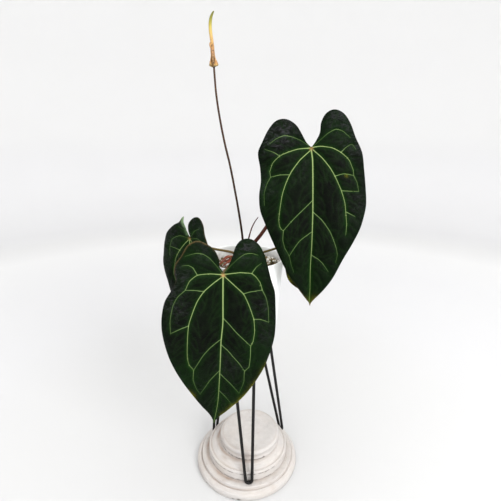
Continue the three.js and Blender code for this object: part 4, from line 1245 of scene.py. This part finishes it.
def standRingPiece(material):
    # The flat ring under the pot that the legs end on, its edges eased
    low, high = (corner.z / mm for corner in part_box("stand_ring"))
    inner, outer, ease = ringShape["inner"], ringShape["outer"], ringShape["ease"]
    section = [
        (inner, low + ease), (inner + ease, low), (outer - ease, low), (outer, low + ease),
        (outer, high - ease), (outer - ease, high), (inner + ease, high), (inner, high - ease),
        (inner, low + ease),
    ]
    piece = pulledRings("standRing", potAxis, section, ringShape["sides"], "NOTHING")
    bpy.ops.mesh.select_all(action="SELECT")
    bpy.ops.mesh.remove_doubles(threshold=0.01 * mm)
    bpy.ops.mesh.normals_make_consistent(inside=False)
    bpy.ops.object.mode_set(mode="OBJECT")
    bpy.ops.object.shade_smooth_by_angle(angle=math.radians(30))
    return settle(piece, material, ["stand_ring"])


print("stand")
blackSteel = grainyMaterial(
    "satinBlackSteel", 0.45, 0.22, (120, 4), [(0.35, "#080808"), (0.7, "#100f0f")], (1600, 2), 0.12, 0.0002)
for legName, (legNode, bearing) in hairpins["legs"].items():
    hairpinPiece(legName, legNode, bearing, blackSteel)
standRingPiece(blackSteel)


# Pot
potShape = {"floor": 318, "rim": 458.2, "rimRadius": 75.2, "taper": 0.083, "wall": 3.6}


def potRadius(height):
    return potShape["rimRadius"] - potShape["taper"] * (potShape["rim"] - height)


def wallRadius(height):
    return potRadius(height) - potShape["wall"]


def glazedWhite():
    material, tree, shader = newMaterial("glazedWhite", 0.32, 0.5, coat=0.2)
    position = objectCoordinates(tree)
    colour = ramped(noiseOf(position, 18, 3), [(0.3, "#f4f5f6"), (0.7, "#fafafa")])
    patches = ramped(noiseOf(position, 90, 4, 0.6), [(0.35, 0.2), (0.65, 1.0)])
    # Painted shade down the inside wall, darker further below the rim, in patches, with a brownish soil tint
    colour = mixed(markOf(tree, "innerShadeAndSoil", patches), colour, "#9a8f82")
    finish(shader, colour, noiseOf(position, 60, 3), 0.08, 0.0006)
    return material


def potPiece():
    floor, rim, wall, edge = (potShape[key] for key in ("floor", "rim", "wall", "rimRadius"))
    foot = potRadius(floor)
    section = [
        (20, floor), (foot - 3, floor), (foot - 1.2, floor + 0.6), (foot - 0.3, floor + 1.8),
        (potRadius(floor + 4), floor + 4), (potRadius(rim - 1.6), rim - 1.6), (edge - 0.2, rim - 0.8),
        (edge - 0.6, rim - 0.3), (edge - 1.3, rim), (edge - wall + 1.3, rim), (edge - wall + 0.6, rim - 0.3),
        (wallRadius(rim - 1), rim - 1), (wallRadius(rim - 4), rim - 4), (wallRadius(rim - 24), rim - 24),
        (wallRadius(floor + 9), floor + 9), (wallRadius(floor) - 4, floor + 4.5), (1, floor + 4.5),
    ]
    piece = turnedPiece("whitePot", potAxis, section, 160)
    # painted shade inside the wall, growing below the rim, with a soil tint
    innerShadeAndSoil = []
    for vertex in piece.data.vertices:
        radius = math.hypot(vertex.co.x, vertex.co.y) / mm
        height = (vertex.co.z + piece.location.z) / mm
        insideWall = radius < potRadius(height) - wall * 0.7 and height > floor + 4.4
        innerShadeAndSoil.append(clamped((rim - 6 - height) / 18) if insideWall else 0)
    pointAttribute(piece, "innerShadeAndSoil", innerShadeAndSoil)
    return settle(piece, glazedWhite(), ["pot"])


print("pot")
potPiece()


# Substrate: a bed with chunks of bark and perlite on it
bed = {
    "top": 437, "slope": 0.08, "chunks": 330, "pearls": 215, "seed": 17,
    "goldenAngle": 2.39996,  # spreads the chunks evenly
    "stemX": 0.5, "stemClear": 12.5,  # no chunks where the stem stands
    "shares": (0.94, 0.86, 0.76, 0.66, 0.56, 0.46, 0.36, 0.26, 0.16, 0.06),  # rings of its top
}


def groundHeight(x, y):
    crowned = 2.0 * (1 - math.hypot(x, y) / 70)
    return bed["top"] + bed["slope"] * x + crowned + 1.1 * noise.noise(Vector((x / 9, y / 9, 2)))


def bedPiece():
    foot = potShape["floor"] + 5
    inside, insideLow = wallRadius(bed["top"]) - 0.3, wallRadius(foot) - 0.3
    section = [(10, foot), (insideLow - 4, foot), (insideLow, foot + 4)]
    section += [(inside - 0.6, bed["top"] - 8), (inside - 0.4, bed["top"])]
    section += [(inside * share, bed["top"]) for share in bed["shares"]]
    piece = turnedPiece("substrateBed", potAxis, section, 96)
    for vertex in piece.data.vertices:
        if vertex.co.z + piece.location.z > (bed["top"] - 1) * mm:
            x, y = vertex.co.x / mm, vertex.co.y / mm
            vertex.co.z = groundHeight(x, y) * mm - piece.location.z
    return piece


def chunkModel(kind, seed):
    # One chip of bark or one grain of perlite, modelled once and copied
    deselectAll()
    roll = random.Random(seed)
    noise.seed_set(seed)  # so that the noise vectors are the same on every run
    if kind == "bark":
        bpy.ops.mesh.primitive_cube_add(size=1 * mm)
        bpy.ops.object.mode_set(mode="EDIT")
        bpy.ops.mesh.subdivide(number_cuts=2)
        bpy.ops.transform.resize(value=(1.0, 0.62, 0.4))
        bpy.ops.object.mode_set(mode="OBJECT")
        rough = 0.16
    else:
        bpy.ops.mesh.primitive_uv_sphere_add(segments=8, ring_count=6, radius=0.5 * mm)
        rough = 0.12
    piece = bpy.context.object
    for vertex in piece.data.vertices:
        shift = noise.noise_vector(vertex.co / mm * 2.3 + Vector((seed, roll.random(), 0)))
        easing = 1.12 - 0.3 * vertex.co.length / mm  # less far out at the corners
        vertex.co = vertex.co * easing + shift * rough * mm
    return piece


def scatter(name, kind, count, sizes, lift, material, seed):
    roll = random.Random(seed)
    models = [chunkModel(kind, seed + k) for k in range(5)]
    pieces = []
    inside = wallRadius(bed["top"])
    for i in range(count):
        source = models[i % len(models)]
        size = roll.uniform(*sizes)
        reach = (inside - size * 0.6) * math.sqrt((i + 0.5) / count)
        bearing = i * bed["goldenAngle"] + roll.uniform(-0.3, 0.3)
        x, y = reach * math.cos(bearing), reach * math.sin(bearing)
        if math.hypot(x - bed["stemX"], y) < bed["stemClear"]:
            continue
        copy = newObject(name, source.data.copy())
        copy.scale = (size, size * roll.uniform(0.8, 1.2), size * roll.uniform(0.8, 1.3))
        copy.rotation_euler = (roll.uniform(-0.8, 0.8), roll.uniform(-0.8, 0.8), roll.uniform(0, 6.28))
        height = groundHeight(x, y) + size * lift
        copy.location = ((potAxis[0] + x) * mm, (potAxis[1] + y) * mm, height * mm)
        pieces.append(copy)
    piece = joined(name, pieces)
    for model in models:
        bpy.data.objects.remove(model)
    return settle(piece, material)


def barkMaterial():
    material, tree, shader = newMaterial("pineBark", 0.9, 0.2)
    position = objectCoordinates(tree)
    separate = place(tree, "ShaderNodeSeparateColor")
    feed(separate.inputs["Color"], pattern("ShaderNodeTexVoronoi", position, Scale=170).outputs["Color"])
    colour = ramped(separate.outputs["Red"], [
        (0.0, "#1a130c"), (0.25, "#4b3a27"), (0.5, "#7c6745"), (0.75, "#9c8c68"), (1.0, "#4a4c26"),
    ])
    streaks = ramped(noiseOf(objectCoordinates(tree, (1, 3, 1)), 420, 5, 0.7), [(0.3, 0.45), (0.7, 1.0)])
    finish(shader, mixed(0.8, colour, streaks, "MULTIPLY"), noiseOf(position, 500, 5, 0.7), 0.6, 0.001)
    return material


print("substrate")
soil = grainyMaterial(
    "pottingMix", 0.95, 0.15, (260, 5, 0.7), [(0.35, "#1d1711"), (0.55, "#3f3325"), (0.75, "#75664b")],
    (320, 5, 0.7), 0.8, 0.002)
perlite = grainyMaterial(
    "perlite", 0.8, 0.3, (500, 4), [(0.3, "#d6d0c7"), (0.6, "#f3f0ea")], (900, 3), 0.4, 0.0006)
settle(bedPiece(), soil, ["substrate"])
scatter("barkChips", "bark", bed["chunks"], (6, 11), 0.05, barkMaterial(), bed["seed"])
scatter("perliteGrains", "perlite", bed["pearls"], (3, 6.2), 0.45, perlite, bed["seed"] + 50)


# Crown: the short stem with its leaf scars
stem = {"radius": 9.5, "foot": 424, "top": 458, "rings": 40, "scar": 0.7}


def crownPiece():
    foot, top, inset = stem["foot"], stem["top"], stem["radius"] - 0.8
    section = [(3, foot), (inset, foot)]
    for i in range(1, stem["rings"] + 1):
        height = foot + (top - 5 - foot) * i / stem["rings"]
        section.append((inset + stem["scar"] * abs(math.sin(math.pi * i / 8)), height))
    section += [(stem["radius"] - 2, top - 2.2), (stem["radius"] - 4.5, top - 0.8), (3, top - 0.1), (1, top)]
    piece = turnedPiece("shortStem", (potAxis[0] + bed["stemX"], potAxis[1]), section, 48)
    for vertex in piece.data.vertices:
        vertex.co += vertex.normal * 0.5 * mm * noise.noise(vertex.co / mm / 4)
    bark = grainyMaterial(
        "scarredStem", 0.85, 0.2, (260, 5, 0.7), [(0.3, "#3f3322"), (0.5, "#6b5a35"), (0.75, "#8c7c4c")],
        (420, 4), 0.6, 0.001, (1, 1, 3))
    return settle(piece, bark, ["crown"])


print("crown")
crownPiece()


# Stage, light and camera
sweep = {
    "flat": 2.1, "wall": 2.7, "height": 3.2, "bends": 14,
    "reach": 4.2,  # distance from the middle of the floor to the top of the wall
    "paint": [  # lighter where less light arrives, so that it looks even
        (0.03, "#c4c4c4"), (0.12, "#cacaca"), (0.19, "#cfcfd0"), (0.32, "#d5d5d6"), (0.43, "#dddddd"),
        (0.502, "#d7d7d7"), (0.548, "#d1d1d2"), (0.6, "#d4d4d5"), (0.652, "#dadadb"), (0.664, "#dddddd"),
        (0.713, "#d9d9d9"), (0.765, "#d7d7d7"),
    ],
}


def backdrop():
    # A round studio sweep: the pale floor runs up into a pale wall on every side
    rings = [(sweep["flat"], -0.0003)]
    bend = sweep["wall"] - sweep["flat"]
    for i in range(1, sweep["bends"] + 1):
        turn = math.pi / 2 * i / sweep["bends"]
        rings.append((sweep["flat"] + bend * math.sin(turn), bend * (1 - math.cos(turn))))
    rings.append((sweep["wall"], sweep["height"]))
    stage = pulledRings("backdrop", (0, 0), [(radius / mm, height / mm) for radius, height in rings], 96)
    bpy.ops.mesh.select_all(action="SELECT")
    bpy.ops.mesh.flip_normals()
    bpy.ops.object.mode_set(mode="OBJECT")
    bpy.ops.object.shade_smooth()
    bpy.ops.object.transform_apply(location=True, rotation=True, scale=True)
    material, tree, shader = newMaterial("paleBackdrop", 0.95, 0.05)
    scaled = objectCoordinates(tree, [1 / sweep["reach"]] * 3)
    away = pattern("ShaderNodeVectorMath", scaled, operation="LENGTH").outputs["Value"]
    feed(shader.inputs["Base Color"], ramped(away, sweep["paint"]))
    stage.data.materials.append(material)


studio = {
    "target": (0, 0, 0.4),
    "lamps": [  # name, location, size, power, colour
        ("window", (1.2, -1.7, 1.45), 1.2, 42, (1, 0.997, 0.99)),
        ("fill", (-0.7, -1.9, 1.5), 1.8, 14, (1, 1, 1)),
    ],
    "air": (1, 0.997, 0.993, 1), "airStrength": 1.72,
    "eye": (0.0081, -0.626, 0.6572), "downward": 16.8, "lens": 25.87,
}


def softLight(name, location, size, power, colour):
    lamp = bpy.data.lights.new(name, "AREA")
    lamp.shape = "DISK"
    lamp.size = size
    lamp.energy = power
    lamp.color = colour
    holder = newObject(name, lamp)
    holder.location = location
    holder.rotation_euler = (Vector(studio["target"]) - Vector(location)).to_track_quat("-Z", "Y").to_euler()
    holder.visible_camera = False


def camera():
    view = bpy.data.cameras.new("photoView")
    view.sensor_width = 36
    view.lens = studio["lens"]
    holder = newObject("photoView", view)
    holder.location = studio["eye"]
    holder.rotation_euler = (math.radians(90 - studio["downward"]), 0, 0)
    bpy.context.scene.camera = holder


def paleRoom():
    world = bpy.data.worlds.new("paleRoom")
    world.use_nodes = True
    air = world.node_tree.nodes["Background"]
    air.inputs["Color"].default_value = studio["air"]
    air.inputs["Strength"].default_value = studio["airStrength"]
    bpy.context.scene.world = world
    bpy.context.scene.view_settings.view_transform = "Standard"


print("stage")
backdrop()
for lamp in studio["lamps"]:
    softLight(*lamp)
paleRoom()
camera()
